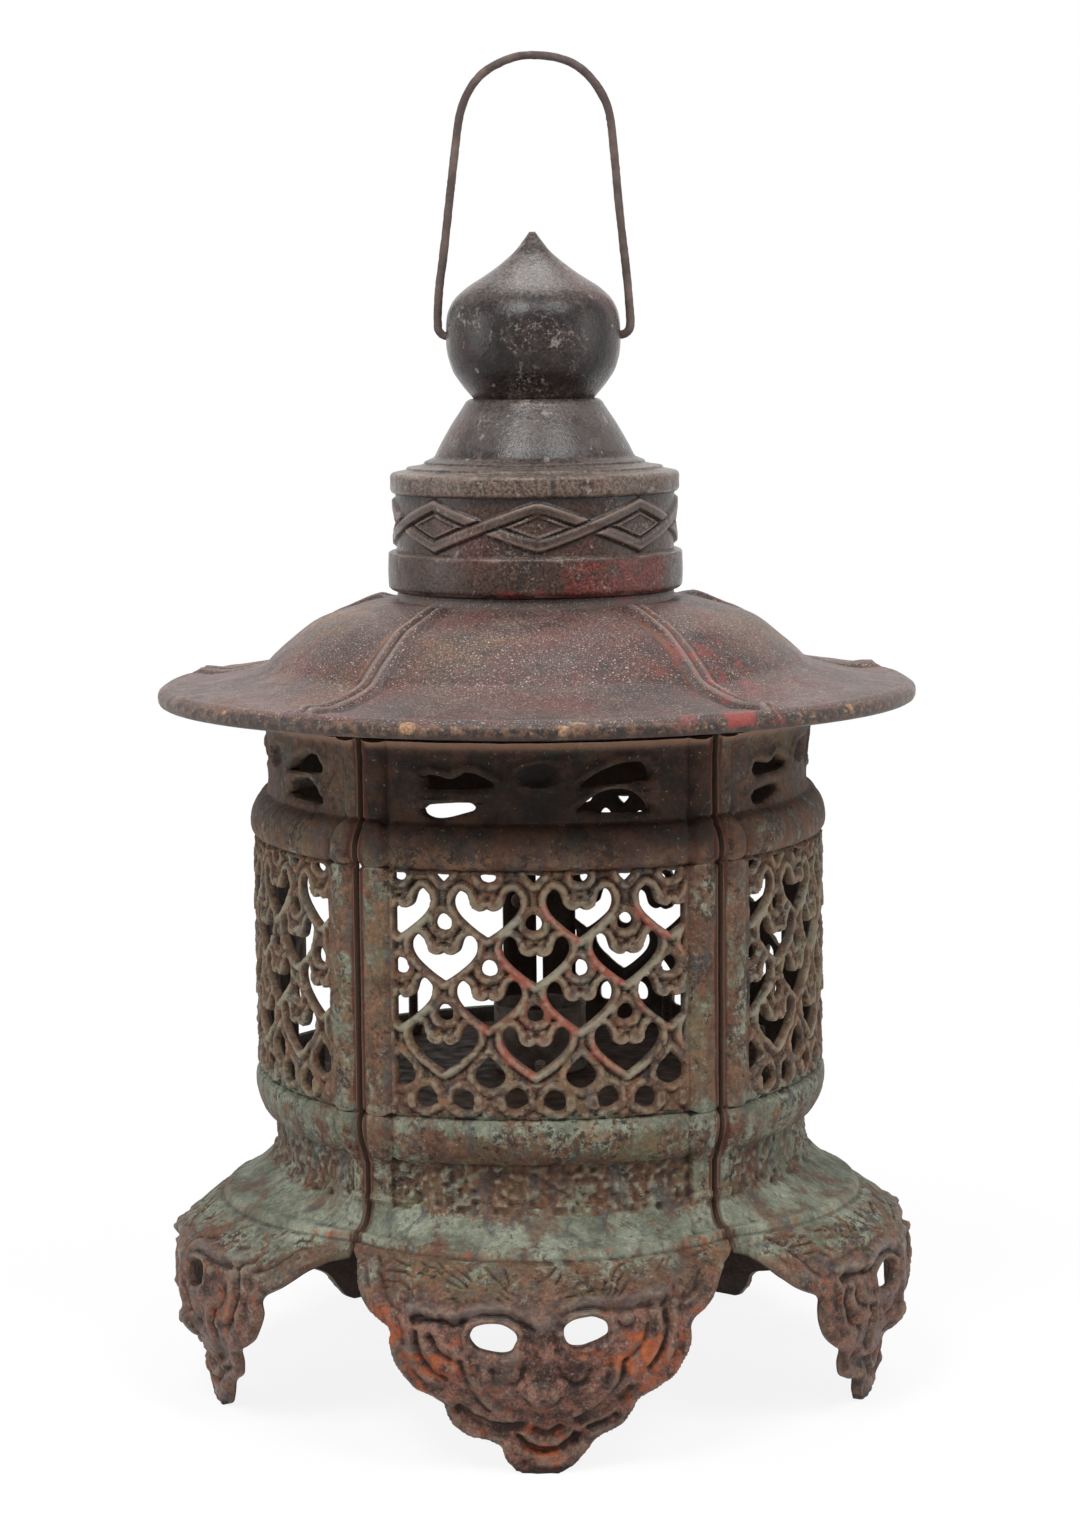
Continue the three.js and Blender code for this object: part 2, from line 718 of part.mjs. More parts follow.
// The finial with the two holes that the bail's ends turn in
function boredFinial() {
  const bore = new THREE.CylinderGeometry(wireDiameter / 2 + runningGap, wireDiameter / 2 + runningGap,
    finialWall * 4, 10);
  bore.rotateZ(Math.PI / 2);
  const holes = [-1, 1].map((side) => {
    const hole = bore.clone();
    hole.translate(side * finialRadius, 0, pivotHeight);
    return solidOf(hole);
  });
  return cut(finial(), ...holes);
}

// Rod, nut and washer that hold finial, cap and roof together

const washerTop = crownHeight - rimThick - seatGap;
const washerThick = 1.5;
const nutHeight = 5;
const nutTop = washerTop - washerThick - seatGap;

function nut(radius, bore, bottom, top, x = 0, y = 0) {
  return cut(post(radius, bottom, top, x, y, 6), post(bore, bottom - 1, top + 1, x, y, 8));
}

// Bail

function bail() {
  const half = bailSpan / 2;
  const top = pivotHeight + bailReach;
  const bend = bailBend;
  const inside = finialRadius - finialWall - bailTuck;
  const centre = top - bailArc;
  const path = new THREE.CurvePath();
  const leanAt = (z) => (bailLean * (z - pivotHeight)) / bailReach;
  const at = (x, z) => new THREE.Vector3(x + leanAt(z), 0, z);
  const line = (a, b) => path.add(new THREE.LineCurve3(a, b));
  const corner = (a, b, c) => path.add(new THREE.QuadraticBezierCurve3(a, b, c));
  line(at(-inside, pivotHeight), at(-half + bend, pivotHeight));
  corner(at(-half + bend, pivotHeight), at(-half, pivotHeight), at(-half, pivotHeight + bend));
  line(at(-half, pivotHeight + bend), at(-bailArc, centre));
  const k = bailArc * 0.5523;
  const quarter = (a, b, c, d) => path.add(new THREE.CubicBezierCurve3(a, b, c, d));
  quarter(at(-bailArc, centre), at(-bailArc, centre + k), at(-k, top), at(0, top));
  quarter(at(0, top), at(k, top), at(bailArc, centre + k), at(bailArc, centre));
  line(at(bailArc, centre), at(half, pivotHeight + bend));
  corner(at(half, pivotHeight + bend), at(half, pivotHeight), at(half - bend, pivotHeight));
  line(at(half - bend, pivotHeight), at(inside, pivotHeight));
  const rim = arc(Math.PI, 6).slice(1).map((a) => new THREE.Vector2(Math.sin(a), Math.cos(a)));
  const section = new THREE.Shape(rim.map((v) => v.multiplyScalar(wireDiameter / 2)));
  return solidOf(new THREE.ExtrudeGeometry(section, { steps: 56, extrudePath: path, bevelEnabled: false }));
}

// Floor plate and candle cup

const floorRadius = bandRadius - panelWall - 0.7;
const cupBottom = floorTop + seatGap;
const cupRadius = cupDiameter / 2;
const cupRivetRadius = cupRivetDiameter / 2;

function floorPlate() {
  const holes = [];
  for (let side = 0; side < SIDES; side++) {
    const a = side * sector;
    holes.push(post(boltRadius + seatGap, floorHeight - 1, floorTop + 1, boltCircle * Math.sin(a),
      -boltCircle * Math.cos(a), 8));
  }
  return cut(
    post(floorRadius, floorHeight, floorTop, 0, 0, 30),
    post(cupRivetRadius + seatGap, floorHeight - 1, floorTop + 1, 0, 0, 10),
    ...holes,
  );
}

function candleCup() {
  const bore = cupRivetRadius + seatGap;
  return turned(
    [
      [cupRadius, cupBottom + cupHeight], [cupRadius, cupBottom], [bore, cupBottom],
      [bore, cupBottom + cupWall], [cupRadius - cupWall, cupBottom + cupWall],
      [cupRadius - cupWall, cupBottom + cupHeight], [cupRadius, cupBottom + cupHeight],
    ],
    24,
  );
}

function cupRivet() {
  const top = cupBottom + cupWall + seatGap;
  const bottom = floorHeight - seatGap;
  return join(
    post(cupRivetRadius, bottom - 0.5, top + 0.5),
    post(cupRivetRadius + 2, top, top + 1.6),
    post(cupRivetRadius + 1.5, bottom - 1.4, bottom),
  );
}

// Assembly

piece("finial", boredFinial(), darkIron);
piece("cap", cap(), darkIron);
piece("roof", roof(), roofIron);
piece("bail", bail(), wireIron);
piece("tie_rod", post(rodRadius, nutTop - nutHeight - 2, rodTop), rustyIron);
piece("tie_rod_washer", cut(post(rodRadius + 5, washerTop - washerThick, washerTop, 0, 0, 16),
  post(rodRadius + seatGap, 0, washerTop + 1)), rustyIron);
piece("tie_rod_nut", nut(rodRadius + 3, rodRadius + seatGap, nutTop - nutHeight, nutTop), rustyIron);

const places = ["front", "right", "rear_right", "rear_left", "left"];
const doorway = "rear_left";
for (let side = 0; side < SIDES; side++) {
  const spot = new THREE.Group();
  spot.rotation.z = side * sector;
  root.add(spot);
  const place = places[side] ?? "side_" + (side + 1);
  piece("panel_" + place, place === doorway ? doorwayCasting() : latticeCasting(), verdigris, spot);

  const screwHead = panelTop - lugThick - seatGap;
  piece("roof_screw_" + place, join(
    post(boltRadius, screwHead - 0.5, panelTop + roofScrewDepth, 0, -boltCircle, 8),
    post(boltRadius * 1.9, screwHead - 2.6, screwHead, 0, -boltCircle, 6),
  ), rustyIron, spot);

  const boltHead = floorLugTop - lugThick - seatGap;
  piece("floor_bolt_" + place, join(
    post(boltRadius, boltHead - 0.5, floorBoltTop, 0, -boltCircle, 8),
    post(boltRadius * 1.9, boltHead - 2.6, boltHead, 0, -boltCircle, 6),
  ), rustyIron, spot);
  piece("floor_nut_" + place, nut(boltRadius * 1.9, boltRadius + seatGap, floorTop + seatGap,
    floorTop + seatGap + 2.6, 0, -boltCircle), rustyIron, spot);

  if (place === doorway) {
    piece("hinge_pin_lower", hingePin(hingeHeights[0]), rustyIron, spot);
    piece("hinge_pin_upper", hingePin(hingeHeights[1]), rustyIron, spot);
    piece("latch", latch(), rustyIron, spot);
    piece("latch_rivet", latchRivet(), rustyIron, spot);
    const swing = new THREE.Group();
    swing.position.set(hingeX, hingeY, 0);
    swing.rotation.z = degrees(doorOpen);
    spot.add(swing);
    piece("door", door(), latticeIron, swing).position.set(-hingeX, -hingeY, 0);
  }
}

piece("floor_plate", floorPlate(), rustyIron);
piece("candle_cup", candleCup(), rustyIron);
piece("candle_cup_rivet", cupRivet(), rustyIron);

export default root;
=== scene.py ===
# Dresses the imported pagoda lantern: cast iron with its relief, patina and rust, round the CAD frame.
# Lengths are millimetres until a mesh is made; the frame has +Z up and the front panel facing -Y.
# Angles round the axis start at the front.
import math

import bpy
import numpy as np
from mathutils import Matrix, Vector


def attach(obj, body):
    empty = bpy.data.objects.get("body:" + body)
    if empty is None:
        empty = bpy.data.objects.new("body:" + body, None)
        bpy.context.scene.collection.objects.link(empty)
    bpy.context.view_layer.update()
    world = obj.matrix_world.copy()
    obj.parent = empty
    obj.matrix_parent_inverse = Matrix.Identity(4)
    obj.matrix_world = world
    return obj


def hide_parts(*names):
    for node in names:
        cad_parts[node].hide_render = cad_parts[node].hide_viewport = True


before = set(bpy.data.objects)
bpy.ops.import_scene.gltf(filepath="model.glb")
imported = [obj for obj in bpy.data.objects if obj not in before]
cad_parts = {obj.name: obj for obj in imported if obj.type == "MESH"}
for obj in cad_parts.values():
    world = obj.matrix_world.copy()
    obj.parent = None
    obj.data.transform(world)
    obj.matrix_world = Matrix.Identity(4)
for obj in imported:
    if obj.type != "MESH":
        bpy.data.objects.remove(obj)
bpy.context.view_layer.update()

MM = 0.001
SIDES = 5
SECTOR = 2 * math.pi / SIDES
# Signed distances to holes stop here
FAR = 6.0

# Camera, fitted to the photograph: 1080 x 1528 pixels
SENSOR = 36
FOCAL_PIXELS = 3505.3
LONG_SIDE = 1528
TILT = 0.12363
ROLL = -0.009836
CAMERA_PLACE = (0.77, -1064.1, 321.9)


def linked(name, data):
    item = bpy.data.objects.new(name, data)
    bpy.context.scene.collection.objects.link(item)
    return item


def make_camera():
    data = bpy.data.cameras.new("camera")
    data.sensor_width = SENSOR
    data.lens = SENSOR * FOCAL_PIXELS / LONG_SIDE
    data.clip_start = 0.05
    data.clip_end = 50
    camera = linked("camera", data)
    right = np.array([1, 0, 0])
    up = np.array([0, math.sin(TILT), math.cos(TILT)])
    ahead = np.array([0, math.cos(TILT), -math.sin(TILT)])
    c, s = math.cos(ROLL), math.sin(ROLL)
    matrix = np.eye(4)
    matrix[:3, :3] = np.stack([c * right + s * up, c * up - s * right, -ahead], 1)
    matrix[:3, 3] = np.array(CAMERA_PLACE) * MM
    camera.matrix_world = Matrix(matrix.tolist())
    bpy.context.scene.camera = camera


make_camera()


# Numbers


def full_turn(count):
    return np.arange(count) * 2 * math.pi / count


def spline(points, spans=8):
    """A smooth line through the points."""
    p = np.array(points, float)
    p = np.vstack([2 * p[0] - p[1], p, 2 * p[-1] - p[-2]])
    t = np.linspace(0, 1, spans, endpoint=False)[:, None]
    out = []
    for a, b, c, d in zip(p, p[1:], p[2:], p[3:]):
        square = (2 * a - 5 * b + 4 * c - d) * t**2
        out.append(0.5 * (2 * b + (c - a) * t + square + (3 * b - a - 3 * c + d) * t**3))
    return np.vstack(out + [p[-2][None]])


def closed_spline(points, spans=5):
    p = np.array(points, float)
    return spline(np.vstack([p, p[:1]]), spans)[:-1]


def resample(line, step):
    """The line with its points about one step apart, both ends kept."""
    line = np.array(line, float)
    along = np.concatenate([[0], np.cumsum(np.linalg.norm(np.diff(line, axis=0), axis=1))])
    at = np.linspace(0, along[-1], max(2, int(round(along[-1] / step)) + 1))
    return np.stack([np.interp(at, along, values) for values in line.T], 1)


def blurred(grid, cells):
    """The grid's mean over a square of 2 * cells + 1 points a side."""
    span = 2 * cells + 1
    for axis in (0, 1):
        wide = np.pad(grid, [(cells + 1, cells) if i == axis else (0, 0) for i in (0, 1)], mode="edge")
        total = np.cumsum(wide, axis)
        n = grid.shape[axis]
        grid = (np.take(total, range(span, span + n), axis) - np.take(total, range(n), axis)) / span
    return grid


def crests(relief, cells, full):
    """How far each place stands out from what is round it, from -1 to 1."""
    return np.clip((relief - blurred(relief, cells)) / full, -1, 1)


def ease(low, high, x):
    """0 at low and 1 at high, with a smooth step between."""
    t = np.clip((x - low) / (high - low), 0, 1)
    return t * t * (3 - 2 * t)


def between(x, low, low_full, high_full, high):
    """1 from low_full to high_full, falling smoothly to 0 at low and high."""
    return ease(low, low_full, x) * ease(high, high_full, x)


def bump(distance, width):
    """1 on the line, falling smoothly to 0 at the width."""
    return np.clip(1 - (distance / width) ** 2, 0, 1) ** 2


def dome(x, z):
    """Height of a half ball of radius 1."""
    return np.sqrt(np.clip(1 - x**2 - z**2, 0, 1))


def hashed(cell, seed):
    """A number from 0 to 1 for each cell, evenly spread."""
    h = cell[..., 0] * 374761393 + cell[..., 1] * 668265263 + cell[..., 2] * 1274126177
    h = (h + seed * 974634777) & 0xFFFFFFFF
    h = ((h ^ (h >> 13)) * 1274126177) & 0xFFFFFFFF
    return ((h ^ (h >> 16)) & 0xFFFF) / 65535.0


def flat(x, y):
    return np.stack([x, y, np.zeros_like(x)], -1)


def noise(points, size, seed=0):
    """Smooth noise from -1 to 1 with lumps of the given size."""
    q = np.asarray(points, float) / size
    cell = np.floor(q).astype(np.int64)
    f = q - cell
    w = f * f * (3 - 2 * f)
    total = 0
    for corner in np.ndindex(2, 2, 2):
        weight = 1
        for i, up in enumerate(corner):
            weight = weight * (w[..., i] if up else 1 - w[..., i])
        total = total + weight * hashed(cell + np.array(corner), seed)
    return 2 * total - 1


def line_distance(x, z, points, closed=False):
    """Distance from each place to a chain of segments."""
    p = np.array(points, float)
    q = np.roll(p, -1, 0) if closed else p[1:]
    best = np.full(x.shape, 1e9)
    for (ax, az), (bx, bz) in zip(p, q):
        dx, dz = bx - ax, bz - az
        t = np.clip(((x - ax) * dx + (z - az) * dz) / (dx * dx + dz * dz + 1e-12), 0, 1)
        best = np.minimum(best, (x - ax - t * dx) ** 2 + (z - az - t * dz) ** 2)
    return np.sqrt(best)


def inside(x, z, points):
    found = np.zeros(x.shape, bool)
    for (ax, az), (bx, bz) in zip(points, np.roll(points, -1, 0)):
        if az != bz:
            found ^= ((az > z) != (bz > z)) & (x < (bx - ax) * (z - az) / (bz - az) + ax)
    return found


def outside_distance(x, z, points, margin=FAR):
    """Signed distance to a closed outline: above 0 outside it, and at most the margin."""
    p = np.array(points, float)
    out = np.full(x.shape, margin)
    low, high = p.min(0) - margin, p.max(0) + margin
    near = (x > low[0]) & (x < high[0]) & (z > low[1]) & (z < high[1])
    if near.any():
        xs, zs = x[near], z[near]
        d = np.minimum(line_distance(xs, zs, p, True), margin)
        out[near] = np.where(inside(xs, zs, p), -d, d)
    return out


def nearest(x, z, outlines):
    """Signed distance to the nearest of some closed outlines."""
    best = np.full(x.shape, FAR)
    for outline in outlines:
        best = np.minimum(best, outside_distance(x, z, outline))
    return best


def around(r, a, z):
    return np.stack([r * np.sin(a), -r * np.cos(a), z], -1)


# Meshes


def new_piece(name, node, look, points, faces, smooth=35, paints=(), body="root"):
    """A piece that stands for a CAD node. points are in millimetres, faces is a list of index arrays
    of (faces, corners), and paints has (attribute, value at each point)."""
    faces = [np.asarray(f) for f in faces if len(f)]
    used = np.unique(np.concatenate([f.ravel() for f in faces]))
    renumber = np.full(len(points), -1)
    renumber[used] = np.arange(len(used))
    mesh = bpy.data.meshes.new(name)
    mesh.vertices.add(len(used))
    mesh.vertices.foreach_set("co", (np.asarray(points, float)[used] * MM).astype(np.float32).ravel())
    corners = np.concatenate([renumber[f].ravel() for f in faces]).astype(np.int32)
    sizes = np.concatenate([np.full(len(f), f.shape[1]) for f in faces])
    starts = np.concatenate([[0], np.cumsum(sizes)[:-1]]).astype(np.int32)
    mesh.loops.add(len(corners))
    mesh.loops.foreach_set("vertex_index", corners)
    mesh.polygons.add(len(sizes))
    mesh.polygons.foreach_set("loop_start", starts)
    mesh.polygons.foreach_set("use_smooth", np.ones(len(sizes), bool))
    mesh.update(calc_edges=True)
    mesh.validate()
    mesh.set_sharp_from_angle(angle=math.radians(smooth))
    mesh.materials.append(LOOKS[look])
    for key, values in paints:
        attribute = mesh.attributes.new(key, "FLOAT", "POINT")
        attribute.data.foreach_set("value", np.asarray(values, np.float32)[used])
    piece = linked(name, mesh)
    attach(piece, body)
    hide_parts(node)


def cell_polygons(code):
    """Corners (0 to 3) and cut edges (4 to 7) round the filled parts of a grid cell, for one of the
    16 ways that it can be cut."""
    filled = [bool(code & (1 << k)) for k in range(4)]
    if code in (5, 10):
        return [[4 + (k - 1) % 4, k, 4 + k] for k in range(4) if filled[k]]
    ring = []
    for k in range(4):
        if filled[k]:
            ring.append(k)
        if filled[k] != filled[(k + 1) % 4]:
            ring.append(4 + k)
    return [ring]


def sheet_mesh(solid, front, edge, back, paints, periodic):
    """A curved sheet over a grid of rows and columns, cut where `solid` is below 0.
    front, edge and back are (rows, columns, 3): `edge` is the front's place at a cut.
    paints holds (rows, columns) arrays to carry along. Returns points, faces and the paints."""
    m, n = solid.shape
    total = 3 * m * n
    node = np.arange(m)[:, None] * n + np.arange(n)[None, :] % (n - 1 if periodic else n)
    across = m * n + node  # crossing between (i, j) and (i, j + 1)
    along = 2 * m * n + node  # crossing between (i, j) and (i + 1, j)

    def mixed(a, b, fa, fb):
        t = np.clip(fa / np.where(np.abs(fa - fb) < 1e-9, 1e-9, fa - fb), 0.001, 0.999)
        return a + (b - a) * (t[..., None] if a.ndim == 3 else t)

    def points_of(grid, cut):
        out = np.zeros((3,) + grid.shape)
        out[0] = grid
        out[1, :, :-1] = mixed(cut[:, :-1], cut[:, 1:], solid[:, :-1], solid[:, 1:])
        out[2, :-1] = mixed(cut[:-1], cut[1:], solid[:-1], solid[1:])
        return out.reshape((total,) + grid.shape[2:])

    f = (solid > 0).astype(int)
    code = f[:-1, :-1] + 2 * f[:-1, 1:] + 4 * f[1:, 1:] + 8 * f[1:, :-1]
    places = [node[:-1, :-1], node[:-1, 1:], node[1:, 1:], node[1:, :-1],
              across[:-1, :-1], along[:-1, 1:], across[1:, :-1], along[:-1, :-1]]
    faces = []
    for value in range(1, 16):
        where = code == value
        if where.any():
            for polygon in cell_polygons(value):
                faces.append(np.stack([places[item][where] for item in polygon], 1))
    starts = np.concatenate([f.ravel() for f in faces])
    ends = np.concatenate([np.roll(f, -1, 1).ravel() for f in faces])
    rim = ~np.isin(starts * total + ends, ends * total + starts)
    a, b = starts[rim], ends[rim]
    walls = np.stack([b, a, a + total, b + total], 1)
    points = np.vstack([points_of(front, edge), points_of(back, back)])
    faces = faces + [f[:, ::-1] + total for f in faces] + [walls]
    carried = {key: np.tile(points_of(grid, grid), 2) for key, grid in paints.items()}
    carried["inner"] = np.repeat([0.0, 1.0], total)
    return points, faces, carried


def merged(parts):
    points, faces, offset = [], [], 0
    for p, fs in parts:
        points.append(p)
        faces += [np.asarray(f) + offset for f in fs]
        offset += len(p)
    return np.vstack(points), faces


def sheet_piece(name, node, look, grids, periodic=False, turn=None, add=(), body="root"):
    """A piece of a cut sheet, with any further (points, faces) closed parts beside it."""
    points, faces, paints = sheet_mesh(*grids, periodic)
    points, faces = merged([(points, faces), *add])
    paints = [(key, np.pad(values, (0, len(points) - len(values)))) for key, values in paints.items()]
    new_piece(name, node, look, turn(points) if turn else points, faces, 35, paints, body)


def flipped(part):
    return part[0], [f[:, ::-1] for f in part[1]]


def quads(m, n, closed):
    """Faces between m rings of n points; closed joins the last ring to the first as well."""
    i = np.arange(m if closed else m - 1)[:, None]
    low, high = i * n, (i + 1) % m * n
    k = np.arange(n)[None]
    following = (k + 1) % n
    return np.stack([low + k, low + following, high + following, high + k], -1).reshape(-1, 4)


def loop_mesh(rings):
    """Closed rings of points, (rings, corners, 3), joined one to the next, with the ends capped."""
    rings = np.asarray(rings, float)
    m, n = rings.shape[:2]
    caps = [np.arange(n)[::-1][None, :], ((m - 1) * n + np.arange(n))[None, :]]
    return rings.reshape(-1, 3), [quads(m, n, False)] + caps


def upright(profile, segments, x=0.0, y=0.0):
    """A capped turning of an (r, z) profile from the bottom up, round an upright line."""
    a = full_turn(segments)
    return loop_mesh([np.stack([x + r * np.cos(a), y + r * np.sin(a), np.full(segments, float(z))], 1)
                      for r, z in profile])


def lathe_grid(profile, segments):
    """Radius, angle and height over an (r, z) profile turned right round Z."""
    p = np.array(profile, float)
    a = full_turn(segments)
    return np.repeat(p[:, :1], segments, 1), np.repeat(a[None], len(p), 0), np.repeat(p[:, 1:], segments, 1)


def lathe_mesh(r, a, z):
    """A closed profile over a grid; it runs up the outside and down the inside."""
    return around(r, a, z).reshape(-1, 3), [quads(*r.shape, True)]


def closed_lathe(profile, segments):
    return lathe_mesh(*lathe_grid(profile, segments))


def turned_about(angle, x=0.0, y=0.0):
    c, s = math.cos(angle), math.sin(angle)

    def turn(points):
        px, py = points[:, 0] - x, points[:, 1] - y
        return np.stack([x + c * px - s * py, y + s * px + c * py, points[:, 2]], 1)

    return turn


def in_doorway(angle, x=0.0, y=0.0):
    """A turn about (x, y), and then on to the doorway's side."""
    first, then = turned_about(angle, x, y), turned_about(DOORWAY_TURN)
    return lambda points: then(first(points))


def slab(x0, x1, y0, y1, z0, z1, chamfer=0.4):
    """A box with its upright edges and its two ends chamfered."""
    c = min(chamfer, 0.45 * (x1 - x0), 0.45 * (y1 - y0), 0.45 * (z1 - z0))

    def ring(inset, z):
        a0, a1, b0, b1 = x0 + inset, x1 - inset, y0 + inset, y1 - inset
        return [(a0 + c, b0, z), (a1 - c, b0, z), (a1, b0 + c, z), (a1, b1 - c, z), (a1 - c, b1, z),
                (a0 + c, b1, z), (a0, b1 - c, z), (a0, b0 + c, z)]

    return loop_mesh([ring(c, z0), ring(0, z0 + c), ring(0, z1 - c), ring(c, z1)])


# Materials


class Nodes:
    """Short names for filling the node tree of a material or a world."""

    def __init__(self, owner, output="OutputMaterial"):
        owner.use_nodes = True
        self.owner = owner
        self.tree = owner.node_tree
        self.tree.nodes.clear()
        self.output = self.add(output)
        self.place = self.add("TexCoord").outputs["Object"]
        self.color = None

    def put(self, socket, value):
        if isinstance(value, bpy.types.NodeSocket):
            self.tree.links.new(value, socket)
        else:
            socket.default_value = value

    def add(self, kind, inputs=()):
        """A new node with these values on, or links to, its inputs."""
        node = self.tree.nodes.new("ShaderNode" + kind)
        for key, value in dict(inputs).items():
            self.put(node.inputs[key], value)
        return node

    def noise(self, per_metre, detail=4.0, roughness=0.55, distortion=0.0, stretch=None):
        place = self.place
        if stretch:
            place = self.add("Mapping", {"Vector": place, "Scale": stretch}).outputs["Vector"]
        return self.add("TexNoise", {"Vector": place, "Scale": per_metre, "Detail": detail,
                                     "Roughness": roughness, "Distortion": distortion}).outputs["Fac"]

    def cells(self, per_metre):
        return self.add("TexVoronoi", {"Vector": self.place, "Scale": per_metre}).outputs["Distance"]

    def ramp(self, value, low, high, start=0.0, end=1.0):
        """A smooth step of a value, or of the noise with these settings."""
        if isinstance(value, tuple):
            value = self.noise(*value)
        node = self.add("MapRange", {"Value": value, "From Min": low, "From Max": high, "To Min": start,
                                     "To Max": end})
        node.interpolation_type = "SMOOTHSTEP"
        return node.outputs["Result"]

    def math(self, operation, a, b):
        node = self.add("Math", {0: a, 1: b})
        node.operation = operation
        return node.outputs[0]

    def times(self, a, b):
        return self.math("MULTIPLY", a, b)

    def plus(self, a, b):
        return self.math("ADD", a, b)

    def minus(self, a, b):
        return self.math("SUBTRACT", a, b)

    def swung(self, value, much):
        """A noise about 0, and so many times as strong."""
        return self.times(self.minus(value, 0.5), much)

    def band(self, value, low, low_full, high_full, high, most=1.0):
        """The most from low_full to high_full, falling to 0 at low and high."""
        return self.times(self.ramp(value, low, low_full), self.ramp(value, high, high_full, 0, most))

    def mix(self, factor, a, b, blend="MIX"):
        node = self.add("Mix")
        node.data_type = "RGBA"
        node.blend_type = blend
        sockets = {s.identifier: s for s in node.inputs}
        for key, value in (("Factor_Float", factor), ("A_Color", a), ("B_Color", b)):
            self.put(sockets[key], (*value, 1.0) if isinstance(value, tuple) else value)
        return next(s for s in node.outputs if s.identifier == "Result_Color")

    def over(self, base, value, low, high, paint, most=1.0):
        """A paint over a base: none of it at the low value, the most at the high one."""
        return self.mix(self.ramp(value, low, high, 0, most), base, paint)

    def lay(self, factor, paint, blend="MIX"):
        self.color = self.mix(factor, self.color, paint, blend)

    def coat(self, value, low, high, paint, most=1.0):
        self.color = self.over(self.color, value, low, high, paint, most)

    def attribute(self, name):
        node = self.add("Attribute")
        node.attribute_name = name
        return node.outputs["Fac"]

    def height_of(self, vector):
        return self.add("SeparateXYZ", {0: vector}).outputs["Z"]

    def geometry(self, name):
        return self.add("NewGeometry").outputs[name]

    def wear_and_painted_shading(self, pale, dark, much):
        """Paler crests and nearly black hollows, from the relief that each mesh carries: partly wear, partly
        a painted highlight on the crests and painted shade in the hollows.
        """
        crest, pointed = self.attribute("crest"), self.geometry("Pointiness")
        self.coat(crest, 0.15, 0.85, pale, much)
        self.coat(crest, -0.15, -0.95, dark, 0.85)
        self.coat(pointed, 0.52, 0.6, pale, 0.6 * much)
        self.coat(pointed, 0.48, 0.41, dark, 0.6)

    def grain(self, *terms):
        """A weighted sum of noises, for the finest relief."""
        total = self.times(*terms[0])
        for value, weight in terms[1:]:
            total = self.plus(total, self.times(value, weight))
        return total

    def finish(self, roughness, grain, strength, depth, specular, dust=0.0):
        relief = self.add("Bump", {"Strength": strength, "Distance": depth, "Height": grain})
        shader = self.add("BsdfPrincipled", {
            "Base Color": self.color, "Roughness": roughness, "Specular IOR Level": specular,
            "Sheen Weight": dust, "Sheen Roughness": 0.4, "Sheen Tint": (1.0, 0.86, 0.78, 1.0),
            "Normal": relief.outputs["Normal"]})
        self.put(self.output.inputs["Surface"], shader.outputs["BSDF"])
        return self.owner


def dark_iron_material():
    """Brown-black cast iron with a soft gloss, grit, a grey bloom, pale flecks and old red paint."""
    n = Nodes(bpy.data.materials.new("dark_iron"))
    z = n.height_of(n.place)
    grit = n.noise(1100, 3, 0.75)
    mottled = n.noise(150, 6, 0.75)
    n.color = n.over((0.007, 0.005, 0.005), (40, 5, 0.6), 0.35, 0.66, (0.028, 0.018, 0.016))
    n.coat(mottled, 0.48, 0.68, (0.082, 0.058, 0.05), 0.65)
    n.coat(z, 0.2765, 0.2722, (0.042, 0.02, 0.012), 0.75)
    n.lay(n.band(z, 0.2722, 0.273, 0.279, 0.2835, 0.55), (0.14, 0.098, 0.074))
    n.coat((26, 3, 0.5), 0.54, 0.66, (0.07, 0.02, 0.017), 0.55)
    # Paler on upward faces: dust, and a painted top light
    n.coat(n.height_of(n.geometry("Normal")), 0.25, 0.95, (0.125, 0.098, 0.085), 0.4)
    n.coat((85, 5, 0.7, 0.6), 0.55, 0.64, (0.01, 0.008, 0.008), 0.6)
    # Darker on the drum's raised strands, and painted shadow under the lip
    n.lay(n.times(n.attribute("darkening"), 0.75), (0.016, 0.012, 0.011))
    old_paint = n.minus(n.attribute("red"), n.ramp((240, 5, 0.75), 0.36, 0.66, 0, 0.65))
    n.coat(old_paint, 0.05, 0.75, (0.098, 0.016, 0.012), 0.85)
    n.lay(1.0, n.ramp(grit, 0.34, 0.68, 0.3, 1.9), "MULTIPLY")
    # Painted shade: the finial darker below its widest part
    n.lay(n.band(z, 0.3005, 0.306, 0.322, 0.332, 0.6), (0.009, 0.006, 0.006))
    bloom = n.band(z, 0.2835, 0.287, 0.299, 0.3015, 0.45)
    n.lay(n.times(bloom, n.ramp((140, 5, 0.7), 0.36, 0.6, 0.35, 1)), (0.094, 0.082, 0.078))
    fleck = n.times(n.ramp((60, 3, 0.6), 0.52, 0.66), n.ramp((900, 4, 0.8), 0.53, 0.62, 0, 0.55))
    n.lay(fleck, (0.27, 0.235, 0.21))
    scab = n.times(n.ramp((210, 2, 0.5), 0.68, 0.71, 0, 0.65), n.ramp(grit, 0.4, 0.6, 0.4, 1.0))
    n.lay(scab, (0.26, 0.225, 0.205))
    n.coat((33, 4, 0.6, 0.4), 0.67, 0.71, (0.24, 0.125, 0.065), 0.6)
    # Worn crests with a painted highlight, and painted shade in the hollows
    n.wear_and_painted_shading((0.25, 0.18, 0.145), (0.008, 0.006, 0.005), 0.5)
    rough = n.minus(n.ramp(mottled, 0.3, 0.7, 0.22, 0.42), n.ramp(z, 0.2825, 0.285, 0, 0.08))
    grain = n.grain((grit, 0.9), (n.noise(300, 3), 0.6), (n.cells(650), 0.25))
    return n.finish(rough, grain, 0.28, 0.0006, 0.27, 0.06)


